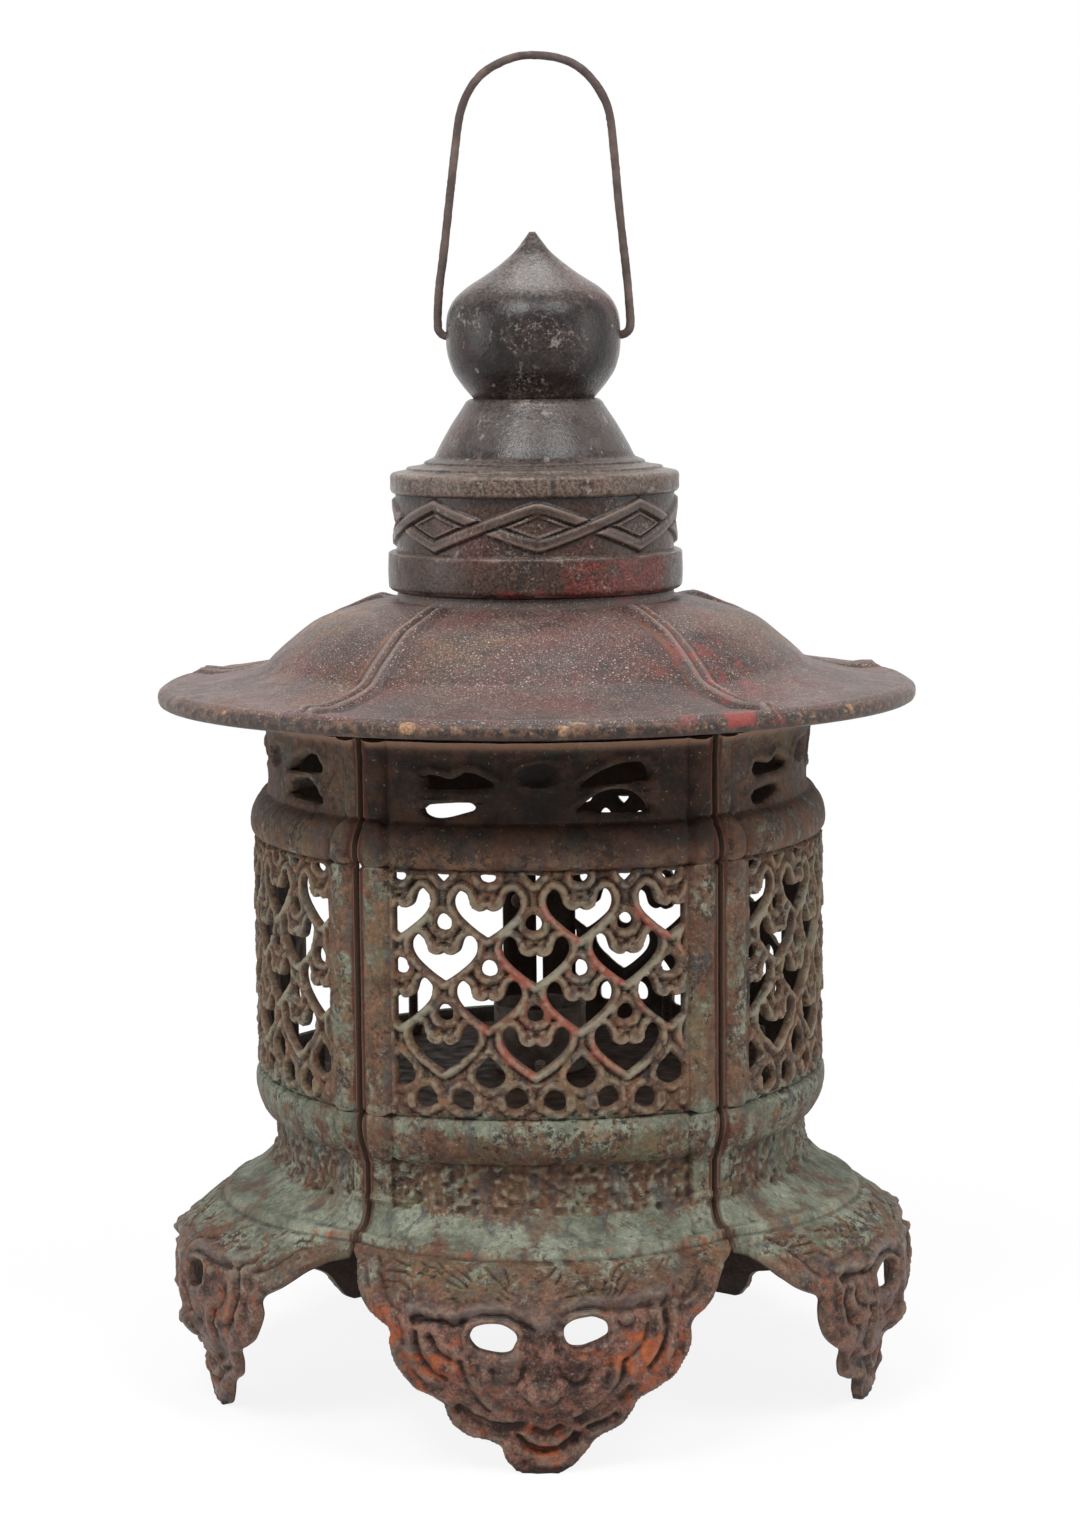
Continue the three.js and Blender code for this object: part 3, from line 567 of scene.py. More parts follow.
def roof_iron_material():
    """Red-brown iron with fine pale specks, ochre blooms, and rust and red paint at ribs and rim."""
    n = Nodes(bpy.data.materials.new("roof_iron"))
    grit = n.noise(1200, 3, 0.75)
    mottled = n.noise(130, 6, 0.75)
    n.color = n.over((0.022, 0.011, 0.01), (34, 5, 0.6), 0.32, 0.68, (0.07, 0.04, 0.034))
    n.coat(mottled, 0.45, 0.7, (0.115, 0.074, 0.06), 0.5)
    n.coat((50, 4, 0.6), 0.46, 0.64, (0.078, 0.024, 0.02), 0.75)
    n.coat((26, 5, 0.6, 0.5), 0.52, 0.68, (0.125, 0.066, 0.032), 0.6)
    n.lay(1.0, n.ramp(grit, 0.34, 0.68, 0.4, 1.75), "MULTIPLY")
    n.coat((1900, 2, 0.5), 0.6, 0.68, (0.4, 0.33, 0.28), 0.75)
    n.coat((950, 2, 0.5), 0.7, 0.75, (0.48, 0.42, 0.37), 0.8)
    edge = n.over((0.012, 0.009, 0.008), (330, 5, 0.75), 0.44, 0.62, (0.12, 0.06, 0.034))
    edge = n.over(edge, (520, 4, 0.7), 0.56, 0.66, (0.24, 0.18, 0.13), 0.7)
    n.coat(n.attribute("rim"), 0.3, 0.8, edge, 0.9)
    blotted = n.ramp((260, 5, 0.75), 0.35, 0.65, 0, 0.55)
    n.coat(n.minus(n.attribute("rust"), blotted), 0.0, 0.7, (0.165, 0.062, 0.03), 0.8)
    n.coat(n.minus(n.attribute("red"), blotted), 0.0, 0.6, (0.21, 0.028, 0.022), 0.8)
    crust = n.over((0.2, 0.085, 0.035), grit, 0.42, 0.6, (0.33, 0.225, 0.13))
    n.coat(n.minus(n.attribute("ochre"), blotted), 0.1, 0.5, crust, 0.9)
    # Worn crests with a painted highlight, and painted shade in the hollows
    n.wear_and_painted_shading((0.23, 0.185, 0.16), (0.014, 0.008, 0.007), 0.4)
    # Painted shade: darker on downward faces, under the rim and the shell
    n.coat(n.height_of(n.geometry("Normal")), 0.0, -0.5, (0.03, 0.017, 0.012), 0.7)
    grain = n.grain((grit, 0.9), (n.noise(260, 3), 0.6), (n.cells(700), 0.2))
    return n.finish(n.ramp(mottled, 0.3, 0.7, 0.36, 0.56), grain, 0.34, 0.0006, 0.32, 0.1)


def casting_material(name, green, olive):
    """Brown rust under verdigris, with black speckle, orange blooms and old red paint on the lattice."""
    n = Nodes(bpy.data.materials.new(name))
    z = n.height_of(n.place)
    fine = n.noise(650, 4, 0.72)
    mid = n.noise(180, 5, 0.68)
    grainy = n.noise(330, 5, 0.75)
    low, polish = n.attribute("low"), n.attribute("polish")
    n.color = n.over((0.054, 0.03, 0.021), mid, 0.36, 0.66, (0.14, 0.08, 0.05))
    n.coat((60, 5, 0.65), 0.46, 0.66, (0.128, 0.112, 0.062), olive)
    n.coat((250, 5, 0.7), 0.52, 0.66, (0.175, 0.07, 0.034), 0.5)
    patina = n.over((0.088, 0.1, 0.072), (70, 4, 0.55), 0.35, 0.65, (0.212, 0.232, 0.176))
    patina = n.over(patina, fine, 0.52, 0.72, (0.33, 0.345, 0.29), 0.18)
    cover = n.plus(n.swung(n.noise(95, 6, 0.74, 0.8), 2.6), n.times(n.attribute("green"), green))
    n.coat(n.plus(cover, n.swung(fine, 0.7)), 0.34, 0.7, patina, 0.9)
    calm = n.band(z, 0.0575, 0.061, 0.07, 0.0725)
    clusters = n.minus(n.swung(n.noise(70, 4, 0.65), 0.6), n.times(calm, 0.11))
    n.coat(n.plus(n.noise(430, 5, 0.78, 0.3), clusters), 0.54, 0.61, (0.018, 0.016, 0.015), 0.85)
    bloom = n.minus(n.plus(n.noise(48, 6, 0.75, 0.5), n.swung(fine, 0.25)), n.times(calm, 0.06))
    n.coat(bloom, 0.55, 0.66, (0.18, 0.078, 0.036), 0.55)
    n.coat((75, 4, 0.6, 0.3, (1.0, 1.0, 0.3)), 0.5, 0.66, (0.088, 0.04, 0.025), 0.7)
    n.coat((170, 5, 0.7, 0.3, (1.0, 1.0, 0.22)), 0.52, 0.64, (0.05, 0.054, 0.056), 0.6)
    n.lay(1.0, n.ramp(fine, 0.36, 0.66, 0.82, 1.18), "MULTIPLY")
    # Painted shadow of the roof over the upper bead and the frieze, full on the front casting
    upper = n.times(n.ramp(z, 0.168, 0.1805, 0, 0.92), n.ramp(z, 0.206, 0.2015, 0.35, 1))
    darkening = n.over((0.008, 0.006, 0.005), (110, 5, 0.7), 0.4, 0.62, (0.04, 0.018, 0.011))
    n.lay(n.times(upper, n.attribute("roof_shadow_share")), darkening)
    n.coat(z, 0.203, 0.2055, (0.21, 0.118, 0.076), 0.75)
    n.coat((820, 3, 0.7), 0.64, 0.72, (0.33, 0.31, 0.25), 0.45)
    iron = n.over((0.03, 0.015, 0.013), mid, 0.38, 0.62, (0.175, 0.085, 0.064))
    iron = n.over(iron, fine, 0.53, 0.68, (0.24, 0.165, 0.135), 0.6)
    iron = n.mix(1.0, iron, n.ramp((1100, 3, 0.75), 0.34, 0.66, 0.55, 1.5), "MULTIPLY")
    iron = n.over(iron, grainy, 0.54, 0.64, (0.19, 0.058, 0.024), 0.6)
    iron = n.over(iron, (75, 5, 0.7), 0.5, 0.66, (0.095, 0.078, 0.062), 0.6)
    n.lay(n.times(low, 0.88), iron)
    hot = n.plus(n.attribute("hot"), n.swung(grainy, 2.8))
    n.coat(hot, 0.35, 1.0, (0.25, 0.06, 0.02), 0.85)
    n.coat(hot, 0.95, 1.45, (0.4, 0.12, 0.04), 0.7)
    n.coat(polish, 0.1, 0.9, (0.125, 0.104, 0.094), 0.65)
    n.coat(n.attribute("seam"), 0.15, 0.85, (0.055, 0.014, 0.008), 0.85)
    scraped = n.minus(n.attribute("red"), n.ramp(grainy, 0.38, 0.66, 0, 0.6))
    n.coat(scraped, 0.0, 0.65, (0.23, 0.052, 0.036), 0.78)
    bare = n.minus(n.attribute("pale"), n.ramp(grainy, 0.4, 0.68, 0, 0.5))
    n.coat(bare, 0.05, 0.75, (0.23, 0.225, 0.165), 0.6)
    # Worn crests with a painted highlight, and painted shade in the hollows
    n.wear_and_painted_shading((0.25, 0.205, 0.145), (0.014, 0.009, 0.007), 0.42)
    # Painted shade: nearly black in the frieze's hollow, along the bottom edge and in the band
    n.coat(n.attribute("painted_shade"), 0.1, 0.9, (0.006, 0.004, 0.004), 0.9)
    n.coat(n.attribute("inner"), 0.55, 0.98, (0.04, 0.024, 0.018), 0.85)
    rough = n.minus(n.ramp(mid, 0.3, 0.7, 0.55, 0.8), n.times(low, 0.24))
    rough = n.minus(rough, n.times(polish, 0.2))
    grain = n.grain((fine, 0.7), (grainy, 0.5), (mid, 0.8), (n.cells(520), 0.25))
    return n.finish(rough, n.times(grain, n.plus(1.0, low)), 0.42, 0.0008, 0.16)


def rusty_material(name, dark, light, hot, specular=0.35):
    n = Nodes(bpy.data.materials.new(name))
    n.color = n.mix(n.ramp((120, 5, 0.65), 0.35, 0.68), dark, light)
    n.coat((320, 5, 0.7, 0.4), 0.54, 0.7, hot, 0.7)
    n.coat((800, 4, 0.7), 0.6, 0.72, (0.03, 0.02, 0.016), 0.5)
    n.coat(n.geometry("Pointiness"), 0.53, 0.62, (0.23, 0.175, 0.135), 0.45)
    grain = n.grain((n.noise(900, 5, 0.7), 0.7), (n.noise(300, 4), 0.7))
    return n.finish(n.ramp((200, 4), 0.3, 0.7, 0.5, 0.8), grain, 0.4, 0.0005, specular)


LOOKS = {
    "dark_iron": dark_iron_material(),
    "roof_iron": roof_iron_material(),
    "verdigris_iron": casting_material("verdigris_iron", 1.0, 0.6),
    "lattice_iron": casting_material("lattice_iron", 0.6, 0.8),
}
for name, *settings in (
    ("rusty_plate", (0.05, 0.032, 0.024), (0.15, 0.098, 0.072), (0.18, 0.08, 0.04), 0.05),
    ("cup_iron", (0.12, 0.088, 0.07), (0.29, 0.23, 0.19), (0.27, 0.14, 0.075)),
    ("rusty_steel", (0.065, 0.043, 0.033), (0.15, 0.1, 0.075), (0.27, 0.11, 0.045)),
    ("bail_wire", (0.045, 0.03, 0.026), (0.1, 0.072, 0.062), (0.12, 0.055, 0.036)),
):
    LOOKS[name] = rusty_material(name, *settings)


# Side castings

PANEL_WALL = 3.5
SKIRT_HEIGHT = 38.0
BAND_BOTTOM = 72.0
BAND_TOP = 83.5
WINDOW_BOTTOM = 98.0
WINDOW_TOP = 169.5
WINDOW_MIDDLE = (WINDOW_BOTTOM + WINDOW_TOP) / 2
WINDOW_REACH = (WINDOW_TOP - WINDOW_BOTTOM) / 2
WINDOW_HALF = 41.6
FRIEZE_BOTTOM = 182.2
PANEL_TOP = 206.0
LATTICE_RADIUS = 87.2
BAND_RADIUS = 81.8
FRIEZE_RADIUS = 82.6
WIDEST = 114.9
BEAD_BULGE = 3.2
BEAD_END = LATTICE_RADIUS - 0.4 * PANEL_WALL
HALF_ANGLE = SECTOR / 2 - math.asin(1 / LATTICE_RADIUS)
COLUMN_PITCH = 26.7
ROW_PITCH = 13.05
FIRST_ROW = 150.6
PATTERN_SHIFT = -1.3
PINCH = -0.1
SWELL = 0.035

SKIRT = [
    (104.3, 0), (104.8, 7.6), (107, 17.9), (111.4, 28.5), (112.7, 38), (112.4, 45.5), (110.6, 50.9),
    (106.4, 56), (98.6, 60.8), (90, 65.2), (84, 69.6), (82.8, 72),
]


def plan_share(angle, z):
    """A casting's distance from the axis at an angle, as a share of the radius of its row."""
    pinched = PINCH * np.minimum(1, z / (0.8 * SKIRT_HEIGHT))
    rise = np.clip((z - (BAND_BOTTOM - 13)) / 13, 0, 1)
    return 1 + (pinched + rise * (SWELL - pinched)) * ((angle / (SECTOR / 2)) ** 2 - 0.2)


def bead_line(bottom, top, low, high):
    a = np.linspace(-math.pi / 2, math.pi / 2, 13)
    share = (np.sin(a) + 1) / 2
    return np.stack([low + share * (high - low) + BEAD_BULGE * np.cos(a), bottom + share * (top - bottom)], 1)


def casting_rows(fine):
    """Rows of (outer r, z) and (outward nr, nz) up a casting; fine is the step in the lattice."""
    zones = [
        (spline(SKIRT), 1.15),
        ([(BAND_RADIUS, BAND_BOTTOM + 0.6), (BAND_RADIUS, BAND_TOP - 0.3)], 1.2),
        (bead_line(BAND_TOP, WINDOW_BOTTOM - 0.4, BAND_RADIUS + 0.5, BEAD_END), 1.7),
        ([(LATTICE_RADIUS, WINDOW_BOTTOM + 0.2), (LATTICE_RADIUS, WINDOW_TOP - 0.2)], 1),
        (bead_line(WINDOW_TOP + 0.4, FRIEZE_BOTTOM, BEAD_END, FRIEZE_RADIUS + 0.5), 1.7),
        ([(FRIEZE_RADIUS, FRIEZE_BOTTOM + 0.6), (FRIEZE_RADIUS, 200.6)], 1.2),
        (spline([(82.7, 201.1), (83.1, 203), (84.0, 204.8), (85.2, PANEL_TOP)]), 1.2),
    ]
    line = np.vstack([resample(points, coarse * fine) for points, coarse in zones])
    slope = np.gradient(line, axis=0)
    slope /= np.linalg.norm(slope, axis=1)[:, None]
    return line, np.stack([slope[:, 1], -slope[:, 0]], 1)


def inner_rows(line, normal):
    """The casting's inside face: its wall in from the skirt, then up in straight runs."""
    r, z = line.T
    skirt = np.stack([r - PANEL_WALL * normal[:, 0], np.maximum(0, z - PANEL_WALL * normal[:, 1])], 1)
    levels = [BAND_BOTTOM, BAND_TOP + 2, WINDOW_BOTTOM, FRIEZE_BOTTOM - 4.5, FRIEZE_BOTTOM - 1]
    radii = np.array([BAND_RADIUS, BAND_RADIUS, LATTICE_RADIUS, LATTICE_RADIUS, FRIEZE_RADIUS]) - PANEL_WALL
    share = ease(BAND_BOTTOM - 8, BAND_BOTTOM, z)[:, None]
    return skirt * (1 - share) + np.stack([np.interp(z, levels, radii), z], 1) * share


# The heart hole above its pointed foot, right half, and the other holes of the lattice
HEART_HALF = [
    (0, 0), (2.3, 1.5), (4.6, 3.3), (7.6, 6.1), (9.2, 8.9), (9.1, 11.6), (7.4, 13.4), (5.7, 12.5),
    (5, 10.6), (4.3, 8.9), (2.7, 7.8), (1.2, 7.7), (0, 8.3),
]
SMALL_HOLE = [(0, 14.9), (1.7, 15.5), (2.4, 17), (1.7, 18.9), (0, 19.8), (-1.7, 18.9), (-2.4, 17),
              (-1.7, 15.5)]
TOP_SHIELD = [(0, 15.4), (1.9, 17.4), (2.2, 19.2), (1.2, 20.4), (-1.2, 20.4), (-2.2, 19.2), (-1.9, 17.4)]
LOW_DIAMOND = [(0, 4.9), (2.7, 2.4), (4.5, -0.6), (3.3, -3.2), (0, -4.6), (-3.3, -3.2), (-4.5, -0.6),
               (-2.7, 2.4)]
CURL_HOLE = [(-3.1, -1.2), (-2.6, 1.4), (-0.6, 3.2), (2, 2.6), (3.4, 0.4), (3, -2.2), (0.4, -3)]


def moved(outline, x, z, mirror=1):
    return closed_spline(np.array(outline, float) * [mirror, 1] + [x, z])


def lattice_holes():
    """Outlines of the heart and small holes in (arc length, z), the places of the scroll beads, and
    the hearts' points."""
    right = spline(HEART_HALF[1:], 3) * [1.06, 1.03]
    whole = np.vstack([[(0, 0)], right, (right * [-1, 1])[::-1]])
    holes, small, beads, feet = [], [], [], []
    for row in range(1, 5):
        z = FIRST_ROW + ROW_PITCH - row * ROW_PITCH
        for column in range(-3, 4):
            u = (column + row % 2 / 2) * COLUMN_PITCH + PATTERN_SHIFT
            aside, lift = 0.35 * math.sin(3.1 * u + z), 0.3 * math.cos(2.3 * u - z)
            grown = whole * [1 + 0.03 * math.sin(u * z), 1 + 0.03 * math.cos(u + z)]
            holes.append(grown + [u + aside, z + lift])
            beads += [(u + aside - 2.5, z + 10.0), (u + aside + 2.5, z + 10.0)]
            feet.append((u, z))
            if row == 1:
                small += [moved(SMALL_HOLE, u, z + 0.8), moved(TOP_SHIELD, u + COLUMN_PITCH / 2, z + 0.3)]
            else:
                small.append(moved(SMALL_HOLE, u + lift, z))
    low = FIRST_ROW - 4 * ROW_PITCH
    for column in range(-3, 4):
        u = column * COLUMN_PITCH + PATTERN_SHIFT
        small.append(moved(LOW_DIAMOND, u + COLUMN_PITCH / 2, low + ROW_PITCH))
        for side in (-1, 1):
            drop = 0.4 * math.sin(2.1 * u + side)
            small.append(moved(CURL_HOLE, u + side * 5.3, low + 5.4 + drop, side))
            beads.append((u + side * 10.4, low + 4.4))
    return holes, small, beads, feet


def rope(d):
    """Section of the bars: a round rope along each hole's edge, with a groove where two meet."""
    return -1.8 + 1.7 * np.where(d < 2.45, dome((d - 1.15) / 1.3, 0), 0) + 0.7 * ease(2.7, 4.4, d)


def lattice_field(x, u, z, place, half_x, half_z):
    """For a lattice in a window: signed distance to its holes, distance beyond the window, height of
    the bars, and the hearts' points."""
    holes, small_holes, beads, feet = lattice_holes()
    hearts, small = nearest(u, z, holes), nearest(u, z, small_holes)
    beyond = np.maximum(np.abs(x) - half_x, np.abs(z - WINDOW_MIDDLE) - half_z)
    lattice = np.maximum(np.minimum(hearts, small), beyond)
    hearts = np.maximum(hearts, beyond)
    bars = rope(np.clip(np.minimum(hearts, small), 0, FAR))
    bars = np.where(small < hearts, 0.55 * bars - 0.35, bars)
    bars += 0.34 * noise(place, 2.2, 15) + 0.2 * noise(place, 0.9, 24)
    for bu, bz in beads:
        bars += 1.2 * dome((u - bu) / 2.4, (z - bz) / 2.4)
    return lattice, beyond, np.minimum(bars, 0.1), feet


FRIEZE_HOLES = [
    [(-33, 195.9), (-29.7, 196.5), (-24.5, 195.4), (-20.7, 197.3), (-16.6, 196.6), (-12.3, 193.8),
     (-16.6, 192.3), (-24.2, 192.2), (-31, 192.4)],
    [(-33.4, 186.4), (-31.2, 187.8), (-26, 188.4), (-20, 188.7), (-17.8, 187.7), (-18.6, 186.3),
     (-22, 185.2), (-26.5, 184), (-30, 183.8), (-32.6, 184.8)],
    [(12, 193.2), (15.6, 196.2), (20.5, 198.5), (25.3, 199.7), (30.1, 199.5), (32.2, 197.5), (31.5, 194.6),
     (23.9, 193.6), (17.7, 193.3)],
    [(11, 186.3), (14.9, 189.7), (19, 191.6), (23.9, 192.1), (28.7, 190.5), (32, 187), (31, 185),
     (23.8, 185.1), (16.9, 185.4)],
]
EYES = [
    [(-21.2, 42.3), (-19.4, 44.9), (-16.1, 46.1), (-11.6, 46.1), (-8.4, 44.7), (-7.3, 42.7), (-8.1, 39.5),
     (-9.2, 38), (-11.6, 37.5), (-14.8, 37.6), (-18.7, 38.6), (-20.6, 40.5)],
    [(5.9, 43), (6.1, 45.2), (8.3, 47.3), (11.6, 48.1), (14.8, 48.1), (17.7, 46.8), (18.8, 44.9),
     (18.6, 42.7), (16.7, 41.3), (13.8, 40.4), (10.9, 39.6), (8.4, 39.5), (6.8, 40.8)],
]
FOOT_OUTLINE = [
    (5, 0), (8.2, 1.6), (10.2, 3.8), (12.8, 7.1), (14.4, 9.1), (17, 10.8), (20.2, 12.2), (22.8, 13.8),
    (24.4, 16), (26, 18.5), (27.3, 21.2), (29.9, 23.1), (32.8, 24.6), (35.7, 26), (38, 28), (39.8, 30.7),
    (41.5, 33.8), (42.8, 37.6), (42.4, 41.2), (43.6, 43.6), (46, 45.5), (48.2, 47.5), (50, 50.5),
    (51.5, 54), (52.8, 57), (53.5, 66), (-53.5, 66), (-53.6, 58), (-53.4, 52.5), (-52.3, 49.5),
    (-50.6, 46.5), (-48, 44.2), (-45.8, 42.9), (-44, 41.3), (-44, 37.8), (-43.4, 34), (-42.2, 31),
    (-40.4, 27.8), (-37.7, 25.2), (-35, 23.5), (-31.8, 22.1), (-29, 20.1), (-27.9, 17), (-26.6, 14.8),
    (-25, 12.7), (-22.8, 11.2), (-20.3, 10.3), (-17.4, 9.6), (-14.2, 8.9), (-12.1, 7.3), (-11.2, 4.5),
    (-9.2, 2), (-6.5, 0),
]

# Relief of the mask: a chain of points, the width to each side and the height
BROW = [(-36, 49.3), (-33.3, 49.2), (-29, 48.4), (-25.3, 48.6), (-22.4, 49), (-16.7, 50.7), (-11, 50.4),
        (-5.3, 48.7), (-1, 47.4), (3.9, 49), (7.5, 51.2), (11.8, 52.3), (17.5, 52.3), (22.5, 51.8),
        (29.8, 52.6), (34.5, 53)]
STROKES = [
    (BROW, 2.0, 1.5),
    ([(x, z + 4.0) for x, z in BROW], 1.2, 0.6),
    ([(-37, 44.8), (-33, 46.2), (-27, 45.6), (-23.3, 46.6), (-20.5, 48.2), (-16, 48.9), (-11, 48.6),
      (-7, 46.8), (-2.5, 44.8)], 1.2, -1.5),
    ([(5, 46), (6, 48.2), (9, 49.9), (12, 50.4), (16, 50.6), (21, 50.2), (26.5, 50.4), (32, 50.2),
      (34.8, 48.3), (35.2, 45)], 1.2, -1.5),
    ([(-49, 57), (-47.8, 50.3), (-44.2, 46.3), (-39.6, 45)], 1.5, 1.1),
    ([(48, 57), (45.5, 51.5), (41.3, 49)], 1.5, 1.1),
    ([(-46.4, 56), (-44.4, 50.5), (-41, 47.6)], 1.0, -1),
    ([(45.2, 56), (42.6, 52), (39, 50.6)], 1.0, -1),
    ([(36.4, 49), (37.4, 42.5), (36.3, 35.5), (33.7, 30.5), (29, 26.5)], 1.7, 1.3),
    ([(32, 48.4), (33.2, 44), (31.8, 37.5), (29.2, 34), (25.5, 31)], 1.5, 1.1),
    ([(34.6, 47), (35.4, 42), (33.8, 36), (30.5, 31.5)], 0.9, -1.1),
    ([(30, 45), (28.8, 40), (26, 36.5), (23.5, 34.5)], 0.9, -0.9),
    ([(-38.9, 43), (-38.6, 36), (-35.5, 30.5), (-30, 26.5), (-26, 23.5)], 1.7, 1.2),
    ([(-35, 43.5), (-34, 38.5), (-30.5, 34), (-26, 31.5)], 1.6, 1.1),
    ([(-36.9, 42), (-36, 36.5), (-32.5, 31.5), (-27.5, 28.5)], 0.9, -1.1),
    ([(-31, 42.5), (-28, 38.5), (-24.5, 36)], 1.3, 1),
    ([(-33, 41), (-30.2, 37.2), (-26.5, 34.6)], 0.8, -0.8),
    ([(-21.5, 36.5), (-21, 33.5), (-20, 29.3), (-17.4, 24), (-13.8, 20.2), (-9, 17.8)], 1.4, 1.2),
    ([(-23.6, 34), (-22.6, 29), (-19.8, 23), (-15.5, 18.8)], 1.0, -0.8),
    ([(20.6, 38), (20.4, 33.5), (19.6, 29.5), (17.4, 25.5), (13.6, 21.5), (9, 18.6)], 1.4, 1.2),
    ([(23, 34), (22, 29), (19.8, 24.5), (16, 20.5)], 1.0, -0.8),
    ([(-24.5, 18.8), (-20, 16.2), (-16.1, 14.5), (-11.6, 13.5), (-7, 14.1)], 1.5, -2),
    ([(-19.5, 19), (-14, 16.9), (-9, 16.2)], 1.2, 0.8),
    ([(9.5, 15.8), (13.5, 17.2), (17.5, 19.1), (21, 21.4), (24.5, 24.4)], 1.5, -2),
    ([(13, 12.8), (17.5, 14.3), (21, 16.8)], 1.0, -1.1),
    ([(-22, 14.2), (-17.5, 12.2), (-13, 11.4)], 1.0, -1),
    ([(0, 45), (-0.3, 38), (0, 31)], 3.2, 1.2),
    ([(4.2, 33), (6.6, 28.6), (10.2, 27.8), (12.7, 29.7), (13.4, 32.3)], 1.2, -1.1),
    ([(-5.5, 33), (-7.6, 28.9), (-11.2, 28), (-14.1, 29.5), (-14.6, 32)], 1.2, -1.1),
    ([(6.8, 25.2), (11, 24.4), (15.3, 27.4), (16.6, 31.5)], 1.1, 0.8),
    ([(-6.8, 25.2), (-11, 24.6), (-15.6, 27.2), (-17.4, 31.5)], 1.1, 0.8),
    ([(-19.4, 35.6), (-14, 34.2), (-9.2, 35), (-6.2, 36.8)], 1.1, 0.8),
    ([(6, 37.8), (11, 36.4), (15.8, 37.6), (19.2, 40)], 1.1, 0.8),
    ([(-16.5, 32), (-12, 31.4), (-8, 33)], 0.7, -0.6),
    ([(-7.4, 10.6), (-4.5, 8.2), (0, 6.9), (4.5, 7.3), (8.6, 10.2)], 1.3, -2),
    ([(-2.4, 13.2), (1.2, 12.3), (4.8, 13.8)], 1.3, -1.6),
    ([(-6.2, 11.7), (-3, 9.9), (0.3, 9.4), (3.5, 9.8), (6.8, 11.6)], 1.4, 1.2),
    ([(-9.6, 9.2), (-5.4, 5.4), (0, 4.2), (5.4, 5), (10, 8.4)], 1.6, 1.2),
    ([(-7, 2.4), (0, 1.4), (6.4, 2.2)], 0.9, -0.7),
]
# Round lumps of the mask: x, z, radius and height
BOSSES = [
    (-32.6, 47.9, 1.8, 1.3), (-30.4, 47.5, 1.4, 1.0), (-25.1, 47.4, 2.3, 1.5), (-38.2, 48.4, 2.0, 1.0),
    (23.7, 47.0, 2.1, 1.5), (32.6, 51.2, 2.0, 1.2), (37.8, 50.4, 2.0, 1.1), (-0.2, 25.2, 4.8, 2.5),
    (-4.6, 27.0, 2.9, 1.3), (4.6, 27.0, 2.9, 1.3), (-0.6, 49.8, 4.0, 0.9),
]


def foot_relief(x, z, edge, eyes):
    """Height of the mask's relief; edge is the distance in from the outline, eyes that from the eyes."""
    place = flat(x, z)
    xw = x + 0.5 * noise(place, 6, 3) + 0.2 * noise(place, 2.5, 7)
    zw = z + 0.5 * noise(place, 6, 4) + 0.2 * noise(place, 2.5, 8)
    h = np.zeros_like(x)
    for points, width, height in STROKES:
        h += 1.05 * height * bump(line_distance(xw, zw, spline(points, 4)), 1.6 * width)
    h *= 0.84 + 0.25 * noise(place, 6, 17)
    for bx, bz, radius, height in BOSSES:
        h += 1.1 * height * dome((x - bx) / radius, (z - bz) / radius)
    h += 0.9 * bump(eyes - 1.3, 1.5) * (eyes > 0)
    wavy = edge + 0.5 * noise(place, 5, 10)
    broken = 0.6 + 0.6 * noise(place, 8, 23)
    h += ease(60, 54, z) * (0.8 * bump(wavy - 1.9, 2.2) - 0.6 * broken * bump(wavy - 4.4, 1.4))
    # Scored chevrons above the mask
    xv = xw + 2.6 * noise(place, 6.5, 24)
    crest = zw - 0.55 * np.sqrt(xv**2 + 30) + 3.0 * noise(place, 8, 14) + 0.9 * noise(place, 3, 25)
    strokes = ease(0.8, 0.1, np.abs(np.sin(math.pi * crest / 2.7)))
    zone = between(z, 50, 53, 59.6, 60.8) * ease(3.5, 5.5, edge)
    h -= 0.7 * strokes * zone * ease(-0.35, 0.35, noise(place * [1, 1.6, 1], 3.6, 19))
    rough = 0.6 * noise(place, 1.9, 5) + noise(place, 4.0, 6) + 0.25 * noise(place, 0.9, 16)
    return h + (0.3 * ease(54, 47, z) + 0.08) * rough


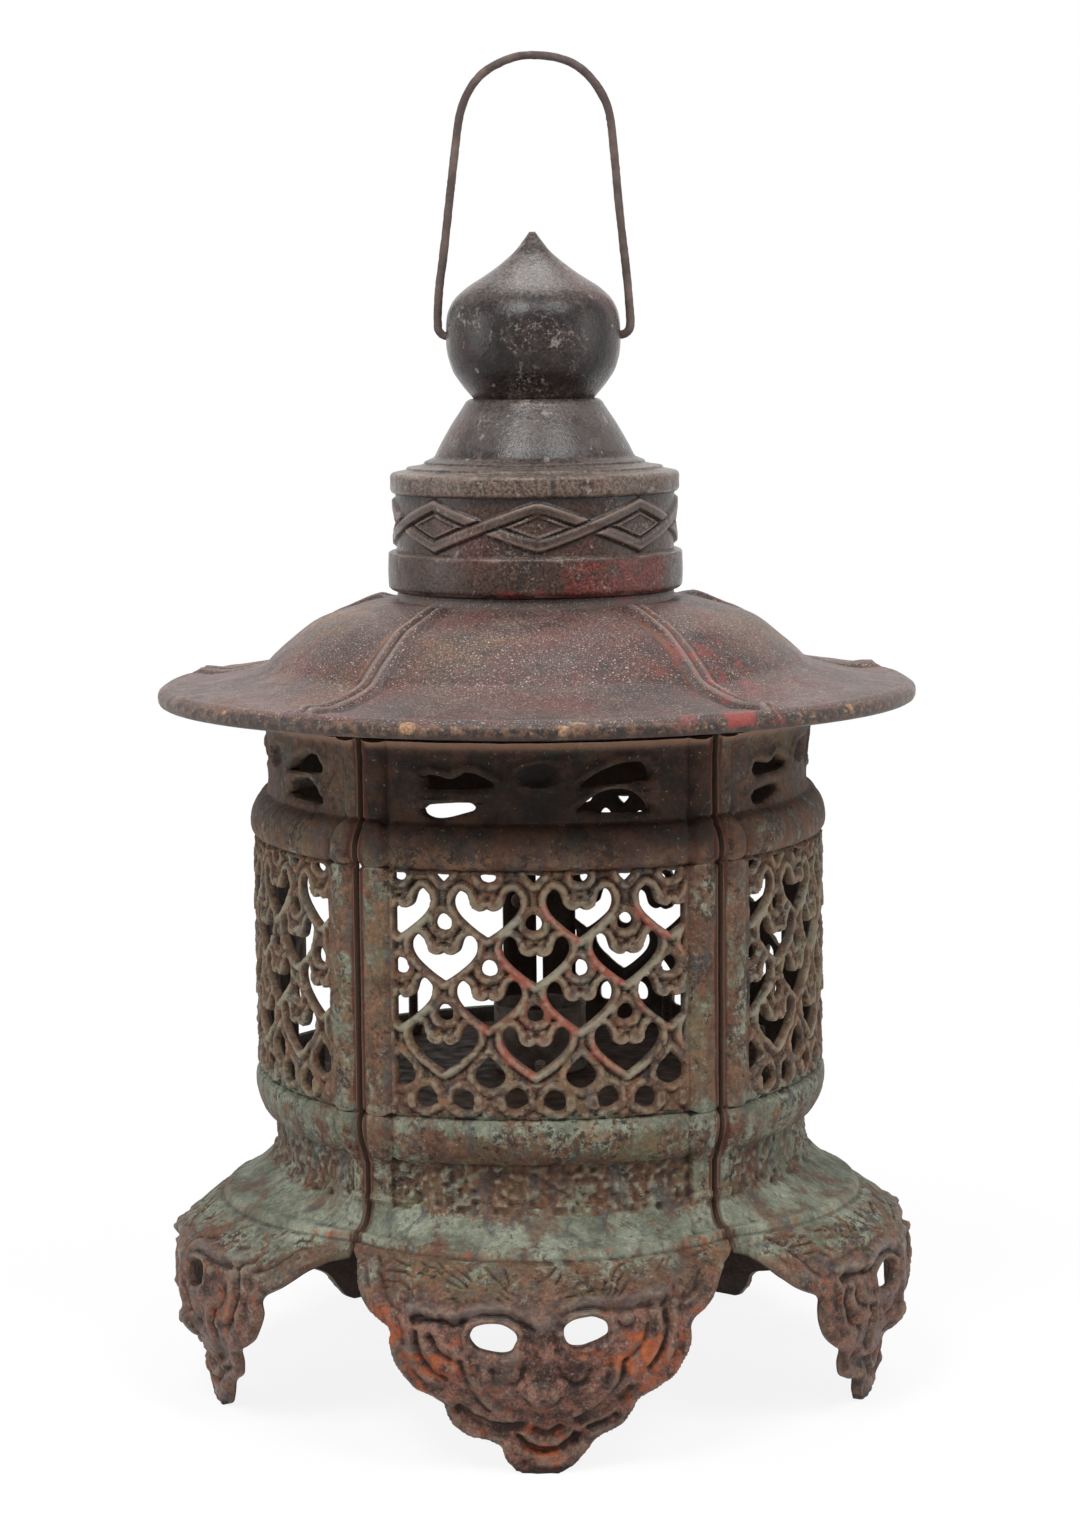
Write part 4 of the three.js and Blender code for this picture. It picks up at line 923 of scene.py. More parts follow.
def casting_grids(step, doorway, foremost):
    """Grids for sheet_mesh of one side; foremost has the red paint of the front panel, and its painted shade
    under the roof and in the frieze's hollow.
    """
    line, normal = casting_rows(step)
    count = int(2 * HALF_ANGLE * LATTICE_RADIUS / step) + 1
    r, z = line[:, :1], np.repeat(line[:, 1:], count, 1)
    angle = np.repeat(np.linspace(-HALF_ANGLE, HALF_ANGLE, count)[None], len(line), 0)
    share = plan_share(angle, z)
    x = r * np.sin(angle) * share
    side_x = np.abs(x)
    u = LATTICE_RADIUS * angle
    place = flat(u, z)

    # Holes
    if doorway:
        w = WINDOW_HALF + 4
        opening = [(-w, WINDOW_BOTTOM), (w, WINDOW_BOTTOM), (w, WINDOW_TOP), (-w, WINDOW_TOP)]
        beyond = np.maximum(side_x - WINDOW_HALF, np.abs(z - WINDOW_MIDDLE) - WINDOW_REACH)
        lattice, bars, feet = np.maximum(nearest(u, z, [opening]), beyond), 0, []
    else:
        lattice, beyond, bars, feet = lattice_field(x, u, z, place, WINDOW_HALF, WINDOW_REACH)
    frieze = nearest(x, z, [closed_spline(hole) for hole in FRIEZE_HOLES])
    eyes = nearest(x, z, [closed_spline(eye) for eye in EYES]) + 0.2 * noise(place, 2.2, 9)
    eyes = np.where(z < 60, np.minimum(eyes, FAR), FAR)
    edge = np.where(z < 72, -outside_distance(x, z, closed_spline(FOOT_OUTLINE, 3), 9.0), 9.0)
    in_window = (z > WINDOW_BOTTOM - 1) & (z < WINDOW_TOP + 1)
    solid = np.minimum(np.where(in_window, lattice, FAR), np.minimum(frieze, eyes))
    solid = np.minimum(solid, np.where(z < 64, edge, FAR))

    # Relief
    stile = ease(42.6, 44.0, side_x)
    panel = 1 - stile
    zone_band = between(z, 69.0, 70.6, BAND_TOP, BAND_TOP + 1)
    zone_window = between(z, WINDOW_BOTTOM - 1.5, WINDOW_BOTTOM, WINDOW_TOP, WINDOW_TOP + 1.5)
    zone_frieze = between(z, FRIEZE_BOTTOM, FRIEZE_BOTTOM + 1.5, 203.0, PANEL_TOP)
    zone_foot = ease(64, 62, z)
    zone_beads = between(z, 82, 84, 97, 99) + between(z, 169, 171, 183, 186)
    body = (1 - zone_foot) * ease(64, 70, z)
    h = np.maximum(zone_foot * foot_relief(x, z, edge, eyes) - 1.1 * ease(62, 56, z), -2.6)
    h += 0.6 * bump(z - 62.4, 1.0) - 0.8 * bump(z - 61.0, 0.9)
    worms = noise(place * [1, 1.4, 1], 2.3, 11) + 0.55 * noise(place, 1.4, 12)
    h += zone_band * panel * (0.85 * ease(-0.8, 0.8, worms) - 0.95 + 0.12 * noise(place, 1.0, 13))
    rise = 0.9 * zone_band + 1.0 * zone_frieze + 0.25 * body - 1.0
    h += stile * rise * (1 - zone_foot) + 1.5 * dome((side_x - 46.9) / 3.7, 0) * body
    h -= 0.35 * bump(side_x - 43.0, 1.6) * zone_window * (beyond > 0)
    h -= 0.8 * bump(side_x - 43.4, 2.3) * zone_beads
    h += zone_window * bars * (1 - ease(0.0, 0.9, beyond))
    opened = np.where(frieze < 0, 1.0, 0)
    nearby = blurred(opened, 6)
    over = ease(-0.2, 1.2, z - blurred(opened * z, 6) / np.maximum(nearby, 0.02)) * (nearby > 0.02)
    leaf = 0.75 * bump(frieze - 1.5, 2.0) * over - 0.6 * bump(frieze, 1.6) * (1 - over)
    hood = line_distance(x, z, spline([(-8.8, 194.5), (-7, 197.4), (-3, 199.9), (3, 200.9), (9, 200.7)], 4))
    curl = line_distance(x, z, spline([(-5, 193), (0.5, 193), (4.5, 195), (8, 198.4)], 4))
    dish = dome((x - 0.6) / 6.8, (z - 196.6) / 3.5)
    h += zone_frieze * panel * (leaf + 0.65 * bump(hood, 2.2) + 0.4 * bump(curl, 1.6) - 1.7 * dish)
    h += 0.1 * noise(place, 5, 21) + 0.05 * noise(place, 1.4, 22)
    h = np.minimum(h, (WIDEST / share - r) / np.maximum(np.abs(normal[:, :1]), 0.5))
    crest = crests(h, max(2, round(1.6 / step)), 0.55)
    raised, sunk = crest > 0, crest < 0
    crest *= 1 - zone_foot * np.where(raised, 0.5, 0.2)
    crest *= 1 - 0.75 * raised * np.maximum(zone_frieze, zone_beads)
    crest *= 1 - 0.4 * sunk * np.maximum(np.maximum(zone_window, zone_beads), zone_band)

    # Surfaces
    nr, nz = normal[:, :1], normal[:, 1:]
    front, edge_front = (around((r + lift * nr) * share, angle, np.maximum(0, z + lift * nz))
                         for lift in (h, np.maximum(h - 0.55, -2.9)))
    inner = inner_rows(line, normal)
    rounding = 0.9 * ease(1.6, 0, np.clip(lattice, 0, FAR)) * zone_window
    back = around((inner[:, :1] + rounding) * share, angle, np.repeat(inner[:, 1:], count, 1))

    # Paint
    red = np.zeros_like(x)
    pale = np.zeros_like(x)
    for fu, fz in feet:
        left = [(fu - 0.6, fz - 0.9), (fu - 5.4, fz + 2.2), (fu - 9.0, fz + 5.6), (fu - 10.2, fz + 8.8)]
        right = [(fu + 0.6, fz - 0.9), (fu + 5.4, fz + 2.2), (fu + 9.0, fz + 5.6)]
        red = np.maximum(red, bump(line_distance(u, z, left), 2.2))
        pale = np.maximum(pale, bump(line_distance(u, z, right), 2.2))
        pale = np.maximum(pale, bump(np.hypot(u - fu, z - fz + 2.4), 2.8))
    in_pattern = zone_window * (beyond < 0)
    red = (red + 0.35 * bump(np.hypot((x - 4) / 1.5, z - 128), 26)) * in_pattern * (1 if foremost else 0.12)
    red *= ease(-0.5, 0.4, noise(place, 14, 31) + 0.4) * ease(-28, -8, x)
    pale *= in_pattern * ease(-0.5, 0.5, noise(place, 17, 32) + 0.2)
    low = ease(57, 44, z + 2.5 * noise(place, 6, 36)) * (1 if foremost else 0.8)
    green = 0.3 * between(z, 60, 70, 92, 104) + 0.5 * bump(z - 65, 6) + 0.45 * bump(z - 97, 5)
    green += 0.1 + 0.35 * crest * zone_band + 0.4 * between(z, 44, 55, 60, 66)
    green += 0.2 * stile * zone_window + (0 if foremost else 0.14 + 0.2 * bump(z - 60, 12))
    scored = between(z, 49, 52, 60.2, 61.4)
    green -= (0.16 + 0.8 * ease(0.0, 0.7, -crest)) * scored
    crest *= 1 - 0.85 * scored * (crest > 0)
    spot = noise(place, 9, 33) + 0.6 * noise(place, 3.5, 34) + 0.35 * noise(place, 1.5, 35)
    cheek = bump(np.hypot((x + 32) / 1.25, z - 36), 12) + bump(np.hypot((x - 27) / 1.1, z - 37), 11)
    cheek = cheek + 0.9 * bump(np.hypot(x / 1.4, z - 10), 10) + 0.35 * ease(6, 2, edge) * low
    hot = low * np.clip(1.3 * cheek + 0.28, 0, 1.15) * ease(-0.6, 0.6, spot) * (1 if foremost else 0.7)
    hot += 0.5 * bump(z - 61.6, 1.6) * ease(-0.4, 0.4, spot)
    seam = LATTICE_RADIUS * (HALF_ANGLE - np.abs(angle)) + 0.8 * noise(place, 5, 37)
    seam = ease(1.9, 0.5, seam) * ease(58, 62, z)
    polish = bump(line_distance(x, z + 1.0, spline(BROW, 4)), 4.2) + 0.8 * bump(np.hypot(x, z - 2.5), 5)
    polish = polish * zone_foot * (0.7 + 0.5 * noise(place, 5, 38))
    # Painted shade in the frieze's hollow, stronger on the front casting, along the bottom edge by the floor,
    # and in the band
    hollow = zone_frieze * panel * np.maximum(dish, 0.6 * bump(np.hypot(x / 1.5, z - 187), 26))
    painted_shade = np.maximum(hollow * (1 if foremost else 0.5), 0.8 * ease(4.5, 0.5, z))
    painted_shade = np.maximum(painted_shade, zone_band * panel * (0.24 - 0.3 * crest))
    # The last entry weights the painted roof shadow: full on the front, 0.4 on the others
    return solid, front, edge_front, back, {
        "red": red, "green": green, "hot": hot, "painted_shade": painted_shade, "pale": pale, "crest": crest, "low": low,
        "seam": seam, "polish": polish, "roof_shadow_share": np.full_like(x, 1.0 if foremost else 0.4)}


PLACES = ["front", "right", "rear_right", "rear_left", "left"]
DOORWAY_TURN = PLACES.index("rear_left") * SECTOR
BOLT_CIRCLE = 70.0
LUG_HALF = 7.0
LUG_THICK = 3.5
FLOOR_LUG_TOP = 91.8
HINGE_X = 45.966
HINGE_Y = -78.902
STILE_Y = -76.06
HINGE_HEIGHTS = (111.585, 155.915)
KNUCKLE = 6.0
HINGE_LUG_FROM = 3.4
HINGE_LUG_HIGH = 4.0
BARREL = 2.8
DOORWAY_BACK = 82.79
DOORWAY_EDGE = -math.asin(41.3 / 83.7)
STOP_LOW, STOP_HIGH = 140.25, 154.25


def bolt_place(side):
    return BOLT_CIRCLE * math.sin(side * SECTOR), -BOLT_CIRCLE * math.cos(side * SECTOR)


def lug(top, wall):
    return slab(-LUG_HALF, LUG_HALF, -wall, -BOLT_CIRCLE + LUG_HALF, top - LUG_THICK, top, 0.7)


def barrel(low, high):
    c = 0.35
    profile = [(BARREL - c, low), (BARREL, low + c), (BARREL, high - c), (BARREL - c, high)]
    return upright(profile, 28, HINGE_X, HINGE_Y)


def arc_block(r0, r1, a0, a1, rows):
    """A block between two radii and two angles; rows has (z, how far the radii are drawn in)."""
    return loop_mesh([[around(r, a, z) for r, a in ((r0 + c, a0), (r1 - c, a0), (r1 - c, a1), (r0 + c, a1))]
                      for z, c in rows])


def doorway_parts():
    """The lugs of the door's hinges, and the stop behind the doorway's other edge with its foot."""
    parts = []
    for z in HINGE_HEIGHTS:
        for low in (z - HINGE_LUG_FROM - HINGE_LUG_HIGH, z + HINGE_LUG_FROM):
            high = low + HINGE_LUG_HIGH
            parts += [barrel(low, high), slab(HINGE_X - 2, HINGE_X + 2, HINGE_Y, STILE_Y + 1.75, low, high)]
    edge = DOORWAY_EDGE
    inner = DOORWAY_BACK * plan_share(edge + 0.04, WINDOW_MIDDLE) - 0.3
    rows = [(STOP_LOW, 0.3), (STOP_LOW + 0.4, 0), (STOP_HIGH - 0.4, 0), (STOP_HIGH, 0.3)]
    parts.append(arc_block(inner - 2.5, inner, edge - 0.04, edge + 0.04, rows))
    rows = [(STOP_LOW, 0), (STOP_HIGH, 0)]
    return parts + [arc_block(inner - 2.0, inner + 2.5, edge - 0.04, edge - 0.012, rows)]


def make_castings():
    for side, place in enumerate(PLACES):
        doorway = place == "rear_left"
        step = 0.5 if side == 0 else 0.75
        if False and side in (2, 3):
            step = 1.2
        parts = [lug(PANEL_TOP, FRIEZE_RADIUS - 1.5), lug(FLOOR_LUG_TOP, BAND_RADIUS - 0.5)]
        if doorway:
            parts += doorway_parts()
        grids = casting_grids(step, doorway, side == 0)
        sheet_piece("casting_" + place, "panel_" + place, "verdigris_iron", grids,
                    turn=turned_about(side * SECTOR), add=parts)


make_castings()


# Door

DOOR_HALF = 40.5
DOOR_LOW, DOOR_HIGH = WINDOW_BOTTOM + 0.8, WINDOW_TOP - 0.8
DOOR_REACH = (DOOR_HIGH - DOOR_LOW) / 2
DOOR_EDGE = 0.476
DOOR_BORDER = 4.0
DOOR_OPEN = math.radians(54)
DOOR_STEP = 0.75


def make_door():
    z_line = np.linspace(DOOR_LOW, DOOR_HIGH, int((DOOR_HIGH - DOOR_LOW) / DOOR_STEP) + 1)
    reach = math.asin(DOOR_HALF / (LATTICE_RADIUS * plan_share(DOOR_EDGE, WINDOW_MIDDLE)))
    phi = np.linspace(-reach, reach, int(2 * reach * LATTICE_RADIUS / DOOR_STEP) + 1)
    z, angle = np.meshgrid(z_line, phi, indexing="ij")
    share = plan_share(angle, z)
    u = LATTICE_RADIUS * angle
    x = LATTICE_RADIUS * np.sin(angle) * share
    place = np.stack([u, z, np.ones_like(u)], -1)
    half_x, half_z = DOOR_HALF - DOOR_BORDER, DOOR_REACH - DOOR_BORDER
    lattice, beyond, bars, feet = lattice_field(x, u, z, place, half_x, half_z)
    rim = np.minimum(DOOR_HALF - np.abs(x), DOOR_REACH - np.abs(z - WINDOW_MIDDLE))
    h = np.minimum(bars, 0) * (1 - ease(0.0, 0.9, beyond))
    h -= 0.5 * bump(rim, 0.9) + 0.35 * bump(rim - 2.2, 0.8)
    inner = 0.7 * ease(1.6, 0, np.clip(lattice, 0, FAR)) - PANEL_WALL
    surfaces = [around((LATTICE_RADIUS + lift) * share, angle, z) for lift in (h, h - 0.5, inner)]
    paints = {"green": np.full_like(x, 0.1), "crest": crests(h, 2, 0.55)}
    parts = []
    for middle in HINGE_HEIGHTS:
        low, high = middle - KNUCKLE / 2, middle + KNUCKLE / 2
        parts += [barrel(low, high), slab(DOOR_HALF - 6.5, HINGE_X, HINGE_Y - 2.2, HINGE_Y + 0.4, low, high)]

    sheet_piece("lattice_door", "door", "lattice_iron", (lattice, *surfaces, paints),
                turn=in_doorway(DOOR_OPEN, HINGE_X, HINGE_Y), add=parts, body="door")


make_door()


# Roof

RIM_RADIUS = 115.0
CROWN_RADIUS = 47.0
CROWN_HEIGHT = 240.6
RIM_HEIGHT = 211.9
RIM_THICK = 4.6
RIB_HALF = 4.0
TIE_HOLE = 3.4
# The roof's top from crown to rim: shares of the way out and of the drop
ROOF_LINE = [
    (0, 0), (0.135, 0.076), (0.21, 0.13), (0.3, 0.235), (0.42, 0.477), (0.48, 0.614), (0.53, 0.725),
    (0.65, 0.825), (0.79, 0.895), (0.92, 0.93), (1, 1),
]
# The rim's rounded edge: radius, and height from the roof's top
RIM_EDGE = [(114, -0.25), (114.6, -0.75), (114.95, -1.5), (115, -2.4), (114.9, -3.4), (114.5, -4.2),
            (113.8, -4.6)]
SEAT = PANEL_TOP + 0.3
SEAT_INNER = FRIEZE_RADIUS - PANEL_WALL - 1
SEAT_OUTER = FRIEZE_RADIUS + 1.5


def roof_top(radius):
    line = spline(ROOF_LINE, 6)
    drop = CROWN_HEIGHT - RIM_HEIGHT - RIM_THICK / 2
    share = (radius - CROWN_RADIUS) / (RIM_RADIUS - CROWN_RADIUS)
    return CROWN_HEIGHT - drop * np.interp(share, line[:, 0], line[:, 1])


def roof_shell():
    """The lobed shell with its ribs, as points and faces, and the crests of its relief."""
    top_r = np.concatenate([[TIE_HOLE, 20, 36, 42], np.linspace(44, 113.2, 90)])
    edge_r, edge_drop = np.array(RIM_EDGE).T
    under_r = np.append(np.linspace(112.5, 8, 26), TIE_HOLE)
    profile_r = np.concatenate([top_r, edge_r, under_r])
    drop = np.concatenate([0 * top_r, edge_drop, np.full(len(under_r), -RIM_THICK)])[:, None]
    up = np.concatenate([0 * top_r + 1, np.clip(1 + edge_drop / 2.2, 0, 1), 0 * under_r])[:, None]
    near_rib = np.concatenate([np.linspace(-7, 7, 29), np.linspace(8, 64, 40)])
    angles = np.concatenate([(side + 0.5) * SECTOR + near_rib / 72 * SECTOR for side in range(SIDES)])
    r, a = np.meshgrid(profile_r, angles, indexing="ij")
    off = (a % SECTOR - SECTOR / 2) * r  # arc from the nearest rib
    side = np.abs(off)
    width = RIB_HALF * (1 + 0.06 * noise(np.stack([r, 0 * r, a * 30], -1), 14, 41))
    ridge = np.minimum(bump(off + 1.7, 2.3) + 0.8 * bump(off - 1.8, 2.1), 1) * 1.9
    ridge -= 0.4 * bump(off + 0.1, 0.7)
    length = ease(CROWN_RADIUS - 1.5, CROWN_RADIUS + 4, r) * (1 - 0.8 * ease(110, 112.2, r))
    valley = 1.5 * ease(22, 4, side) * between(r, 50, 62, 100, 112)
    groove = 0.6 * bump(side - width - 1.0, 1.5)
    lip = up * 0.55 * bump(r - 112.4, 1.8)
    z = roof_top(np.clip(r, CROWN_RADIUS, 113.2)) + drop + up * ((ridge - groove) * length - valley)
    place = np.stack([r * np.sin(a), r * np.cos(a), z], -1)
    z += lip + up * (0.16 * noise(place, 9, 42) + 0.08 * noise(place, 2.5, 43))
    relief = (ridge * length - valley - groove + lip) * up
    crest = crests(relief, 3, 0.9)
    nick = np.clip(noise(place, 6, 44) - 0.35, 0, 1)
    points = around(r - 0.35 * nick * (r > 113.9), a, z)
    return (points.reshape(-1, 3), [quads(*r.shape, True)[:, [0, 3, 2, 1]]]), crest.ravel()


def make_roof():
    shell, crest = roof_shell()
    ring_top = float(roof_top(SEAT_OUTER)) - RIM_THICK / 2
    ring = closed_lathe([(SEAT_OUTER, SEAT + 0.4), (SEAT_OUTER, ring_top), (SEAT_INNER, ring_top),
                         (SEAT_INNER, SEAT + 0.4), (SEAT_INNER + 0.4, SEAT), (SEAT_OUTER - 0.4, SEAT)], 160)
    register = closed_lathe([(42.0, CROWN_HEIGHT - 1), (42.0, CROWN_HEIGHT + 2.5), (41.7, CROWN_HEIGHT + 2.8),
                             (39.6, CROWN_HEIGHT + 2.8), (39.6, CROWN_HEIGHT - 1)], 120)
    boss = [(5.1, SEAT), (5.6, SEAT + 0.5), (5.8, float(roof_top(75.6)) - RIM_THICK / 2)]
    bosses = [upright(boss, 28, *bolt_place(side)) for side in range(SIDES)]
    points, faces = merged([shell, ring, register, *bosses])
    x, y, z = points.T
    radius = np.hypot(x, y)
    turn = np.arctan2(x, -y)
    off = (turn % SECTOR - SECTOR / 2) * radius
    blotch = noise(points, 13, 51)
    patchy = ease(-0.6, 0.2, noise(points, 7, 52))
    rust = bump(off - 0.2, 1.5) * ease(-0.8, 0.2, blotch) * (radius > 46)
    rust = np.maximum(rust, bump(off + 4.8, 2.6) * ease(-0.2, 0.6, blotch) * (radius > 50)) * (z > 212)
    red = 0.8 * bump(off - 3, 6) * ease(60, 48, radius) * ease(-0.3, 0.6, blotch)
    red = np.maximum(red, ease(109.5, 113, radius) * bump(turn - 0.5, 0.24) * patchy * 1.2)
    red = np.maximum(red, 0.6 * bump(np.hypot(x - 50, y + 64) / 30, 1) * patchy)
    chips = bump(turn + 0.31, 0.07) + 0.8 * bump(turn - 0.075, 0.05) + 0.5 * bump(turn + 0.62, 0.04)
    ochre = ease(112.6, 114.2, radius) * (chips + ease(0.55, 0.7, noise(points, 6, 53)))
    new_piece("lobed_roof", "roof", "roof_iron", points, faces, 50, [
        ("rust", rust), ("red", red), ("ochre", ochre * (0.75 + 0.5 * noise(points, 2.2, 54))),
        ("rim", ease(113.4, 114.6, radius)), ("crest", np.pad(crest, (0, len(points) - len(crest))))])


make_roof()


# Cap

DRUM_RADIUS = 42.8
DRUM_MIDDLE = 264.3
DIAMOND_REACH = 6.1
DIAMOND_TURN = 0.019
CAP_TOP = [(3.4, 301), (17.8, 301)]
DOME = [(18.6, 301), (19.5, 300.8), (20.5, 300.1), (21.3, 298.9), (22.6, 296.9), (24.5, 294.1),
        (26.6, 290.6), (28.5, 287.2), (30.1, 284)]
LIP = [(30.6, 283.4), (33.2, 282.3), (33.8, 281.5), (37.4, 280.7), (38.6, 280.6), (39.2, 279.8),
       (42.2, 279.2), (43.2, 278.9), (43.7, 278.1), (43.75, 276), (43.7, 274), (43.3, 273.2)]
FLANGE = [(43.6, 255.4), (44.3, 255.1), (44.6, 254.4), (44.7, 250), (44.6, 245.4), (44.2, 244.4),
          (43.4, 243.8), (42.6, 243.7)]
CAP_INSIDE = [(38.8, 243.7), (38.8, 258), (38.8, 273.2), (29.8, 278.2), (21.5, 285), (16.5, 294),
              (13.5, 297), (3.4, 297)]
# Worn edges: height, width and strength
CAP_EDGES = [(278.4, 1.0, 1), (273.6, 0.9, 1), (254.8, 0.9, 1), (244.2, 0.9, 1), (281.6, 0.6, 0.7),
             (279.8, 0.5, 0.7)]


def strand(a, z):
    """Height of the interlaced diamonds on the drum, at an angle and a height."""
    turn = a - DIAMOND_TURN
    t = (turn / (math.pi / 2) + 0.5) % 1
    swing = (1 - 2 * np.sqrt((2 * t - 1) ** 2 + 0.003)) * DIAMOND_REACH
    lean = math.cos(math.atan(2 * DIAMOND_REACH / (math.pi / 4 * DRUM_RADIUS)))
    one = np.abs(z - DRUM_MIDDLE - swing) * lean
    other = np.abs(z - DRUM_MIDDLE + swing) * lean
    over = np.where(t < 0.5, one, other)
    under = np.where(t < 0.5, other, one)
    band = np.maximum(ease(2.1, 1.1, over), ease(2.1, 1.1, under) * ease(1.7, 2.6, over))
    x = ((turn / (math.pi / 4) + 0.5) % 1 - 0.5) * math.pi / 4 * DRUM_RADIUS
    size = np.abs(x) / 8.6 + np.abs(z - DRUM_MIDDLE) / 3.3
    return 1.1 * band + 0.9 * bump((size - 1) * 3.2, 0.9) + 0.3 * ease(0.9, 0.7, size)


def make_cap():
    drum = resample([(42.6, 272.6), (42.4, 255.9)], 0.42)
    outside = [spline(DOME, 6), spline(LIP, 3), drum, spline(FLANGE, 3)]
    r, a, z = lathe_grid(np.vstack([CAP_TOP, *outside, CAP_INSIDE])[::-1], 480)
    unrolled = np.stack([30 * a, 0 * a, z], -1)
    on_drum = (r > 42.3) & (r < 42.7) & (z > 255.8) & (z < 272.7)
    raised = strand(a, z) * on_drum
    edges = sum(much * bump(z - level, width) for level, width, much in CAP_EDGES)
    edges = edges * (r > 30) * (0.45 + 0.55 * noise(unrolled, 4, 64))
    crest = np.clip((raised - blurred(raised, 4)) / 0.5 + 0.9 * edges, -1, 1)
    # Painted shadow of the lip on the top of the drum
    shaded = 1.2 * ease(269.6, 272.0, z) * (r < 43.2) * ease(274, 273, z)
    darkening = np.maximum(ease(0.7, 1.0, raised) * (0.6 + 0.6 * noise(unrolled, 6, 65)), shaded)
    place = np.stack([r * np.sin(a), r * np.cos(a), z], -1)
    rough = (0.1 * noise(place, 5, 61) + 0.05 * noise(place, 1.5, 62)) * (r > 40)
    points, faces = lathe_mesh(r - 0.35 * on_drum + raised + rough, a, z)
    turn = np.arctan2(points[:, 0], -points[:, 1])
    height = points[:, 2]
    red = ease(256.0, 253.5, height) * between(turn, 0.1, 0.26, 0.95, 1.25)
    red = red + 0.8 * ease(248, 245, height) * between(turn, -0.4, -0.1, 0.1, 0.3)
    red = red * (0.95 + 0.4 * noise(points, 7, 63))
    new_piece("cap_casting", "cap", "dark_iron", points, faces, 50,
              [("crest", crest.ravel()), ("darkening", darkening.ravel()), ("red", red)])


make_cap()


# Finial and bail

PIVOT_HEIGHT = 319.64
WIRE_RADIUS = 1.25
ONION = [
    (18.3, 301.05), (19, 301.9), (20.2, 303.3), (21.8, 305.3), (24.2, 308.9), (25.5, 312.5), (26.2, 316),
    (26.4, 319.6), (26, 325), (24.9, 328.6), (22.9, 331.6), (19.4, 334.6), (14.2, 337.9), (9.4, 341.4),
    (5.4, 344.9), (2.7, 348.2), (0.9, 350.7),
]
FINIAL_INNER = [
    (15.5, 301.05), (15.6, 302.5), (16.5, 304.5), (18.3, 307.5), (20.2, 311), (22, 315), (22.9, 319),
    (22.4, 323.5), (21.3, 327), (18.5, 330.5), (15, 332.9), (10, 334.3), (7.4, 334.8), (6, 335),
    (4, 335.1), (2, 335.2), (0.5, 335.2),
]
BAIL = [
    (-20.6, 319.64), (-24, 319.66), (-26.6, 319.9), (-28.1, 321), (-28.75, 323.2), (-28.2, 333.7),
    (-26.6, 345), (-24.9, 358.9), (-22.9, 375.1), (-21.4, 385), (-18.9, 391.9), (-14.6, 397.4),
    (-8.6, 401), (-3, 402.65), (2, 402.8), (7.6, 402.1), (12.8, 400.2), (17.2, 396.8), (20.9, 391.8),
    (23.4, 385.5), (24.7, 374.7), (26.1, 358.4), (27.5, 345), (28.7, 333.1), (29.3, 323.4), (28.7, 321.1),
    (27.1, 319.9), (24, 319.66), (20.6, 319.64),
]
FINIAL_CORE = [(3.4, 313.6), (7, 313.6), (7, 334.6), (3.4, 334.6)]


def make_finial():
    rows = resample(np.hstack([spline(ONION, 6), spline(FINIAL_INNER, 6)]), 1.0)
    count = 181
    r, z, inner_r, inner_z = (np.repeat(column[:, None], count, 1) for column in rows.T)
    angle = np.repeat(np.linspace(0, 2 * math.pi, count)[None], len(rows), 0)
    place = around(r, angle, z)
    bore = np.hypot(place[..., 1], z - PIVOT_HEIGHT) - (WIRE_RADIUS + 0.55)
    solid = np.where(np.abs(place[..., 0]) > 12, np.minimum(bore, 5), 5.0)
    bumpy = 0.1 * noise(place, 6, 71) + 0.05 * noise(place, 1.6, 72)
    front = around(r + bumpy * ease(0.5, 4, r), angle, z)
    grids = (solid, front, around(r - 0.3, angle, z), around(inner_r, angle, inner_z), {})
    core = flipped(closed_lathe(FINIAL_CORE, 40))
    sheet_piece("onion_finial", "finial", "dark_iron", grids, periodic=True, add=[core])


make_finial()


def make_bail():
    """Rings square to the wire's line, with rounded ends and a little worn lumpiness."""
    segments = 20
    line = resample(spline(BAIL, 8), 1.0)
    path = np.stack([line[:, 0], 0 * line[:, 0], line[:, 1]], 1)
    tangent = np.gradient(path, axis=0)
    tangent /= np.linalg.norm(tangent, axis=1)[:, None]
    side = np.array([0.0, 1.0, 0.0])
    a = full_turn(segments)[:, None]
    rings = []
    for centre, t in zip(path, tangent):
        other = np.cross(t, side)
        other /= np.linalg.norm(other)
        grown = WIRE_RADIUS * (1 + 0.05 * float(noise(centre[None], 7, 81)[0]))
        rings.append(centre + grown * (np.cos(a) * side + np.sin(a) * other))
    first, last = path[0], path[-1]
    rings.insert(0, first + (rings[0] - first) * 0.7 - tangent[0] * 0.35 * WIRE_RADIUS)
    rings.append(last + (rings[-1] - last) * 0.7 + tangent[-1] * 0.35 * WIRE_RADIUS)
    points, faces = flipped(loop_mesh(rings))
    lumps = 0.05 * noise(points, 1.2, 82) + 0.05 * noise(points, 0.5, 83)
    centre = path[np.clip(np.arange(len(points)) // segments - 1, 0, len(path) - 1)]
    points = points + (points - centre) * lumps[:, None]
    new_piece("wire_bail", "bail", "bail_wire", points, faces, 60, body="bail")


make_bail()


# Cup, plate and fasteners

FLOOR_LOW, FLOOR_TOP = 92.1, 95.1
BOLT_HOLE = 1.95
# The cup's wall, rim and inside
CUP_LINES = [
    [(2.3, 95.4), (8, 95.4), (13.2, 95.5), (14, 96.1), (14.2, 97.5), (14.15, 106), (14.1, 113.6)],
    [(14.1, 114.3), (14.25, 115.1), (14.1, 115.7), (13.6, 115.8), (13.15, 115.4), (13, 114.4)],
    [(12.95, 113.6), (12.95, 106), (12.9, 98.2), (12.5, 97), (11.5, 96.6), (2.3, 96.6)],
]


def make_cup():
    points, faces = closed_lathe(np.vstack([spline(line, 4) for line in CUP_LINES]), 96)
    points[:, 2] += 0.15 * noise(points, 9, 91) * (points[:, 2] > 110)
    new_piece("candle_cup_sheet", "candle_cup", "cup_iron", points, faces, 45)


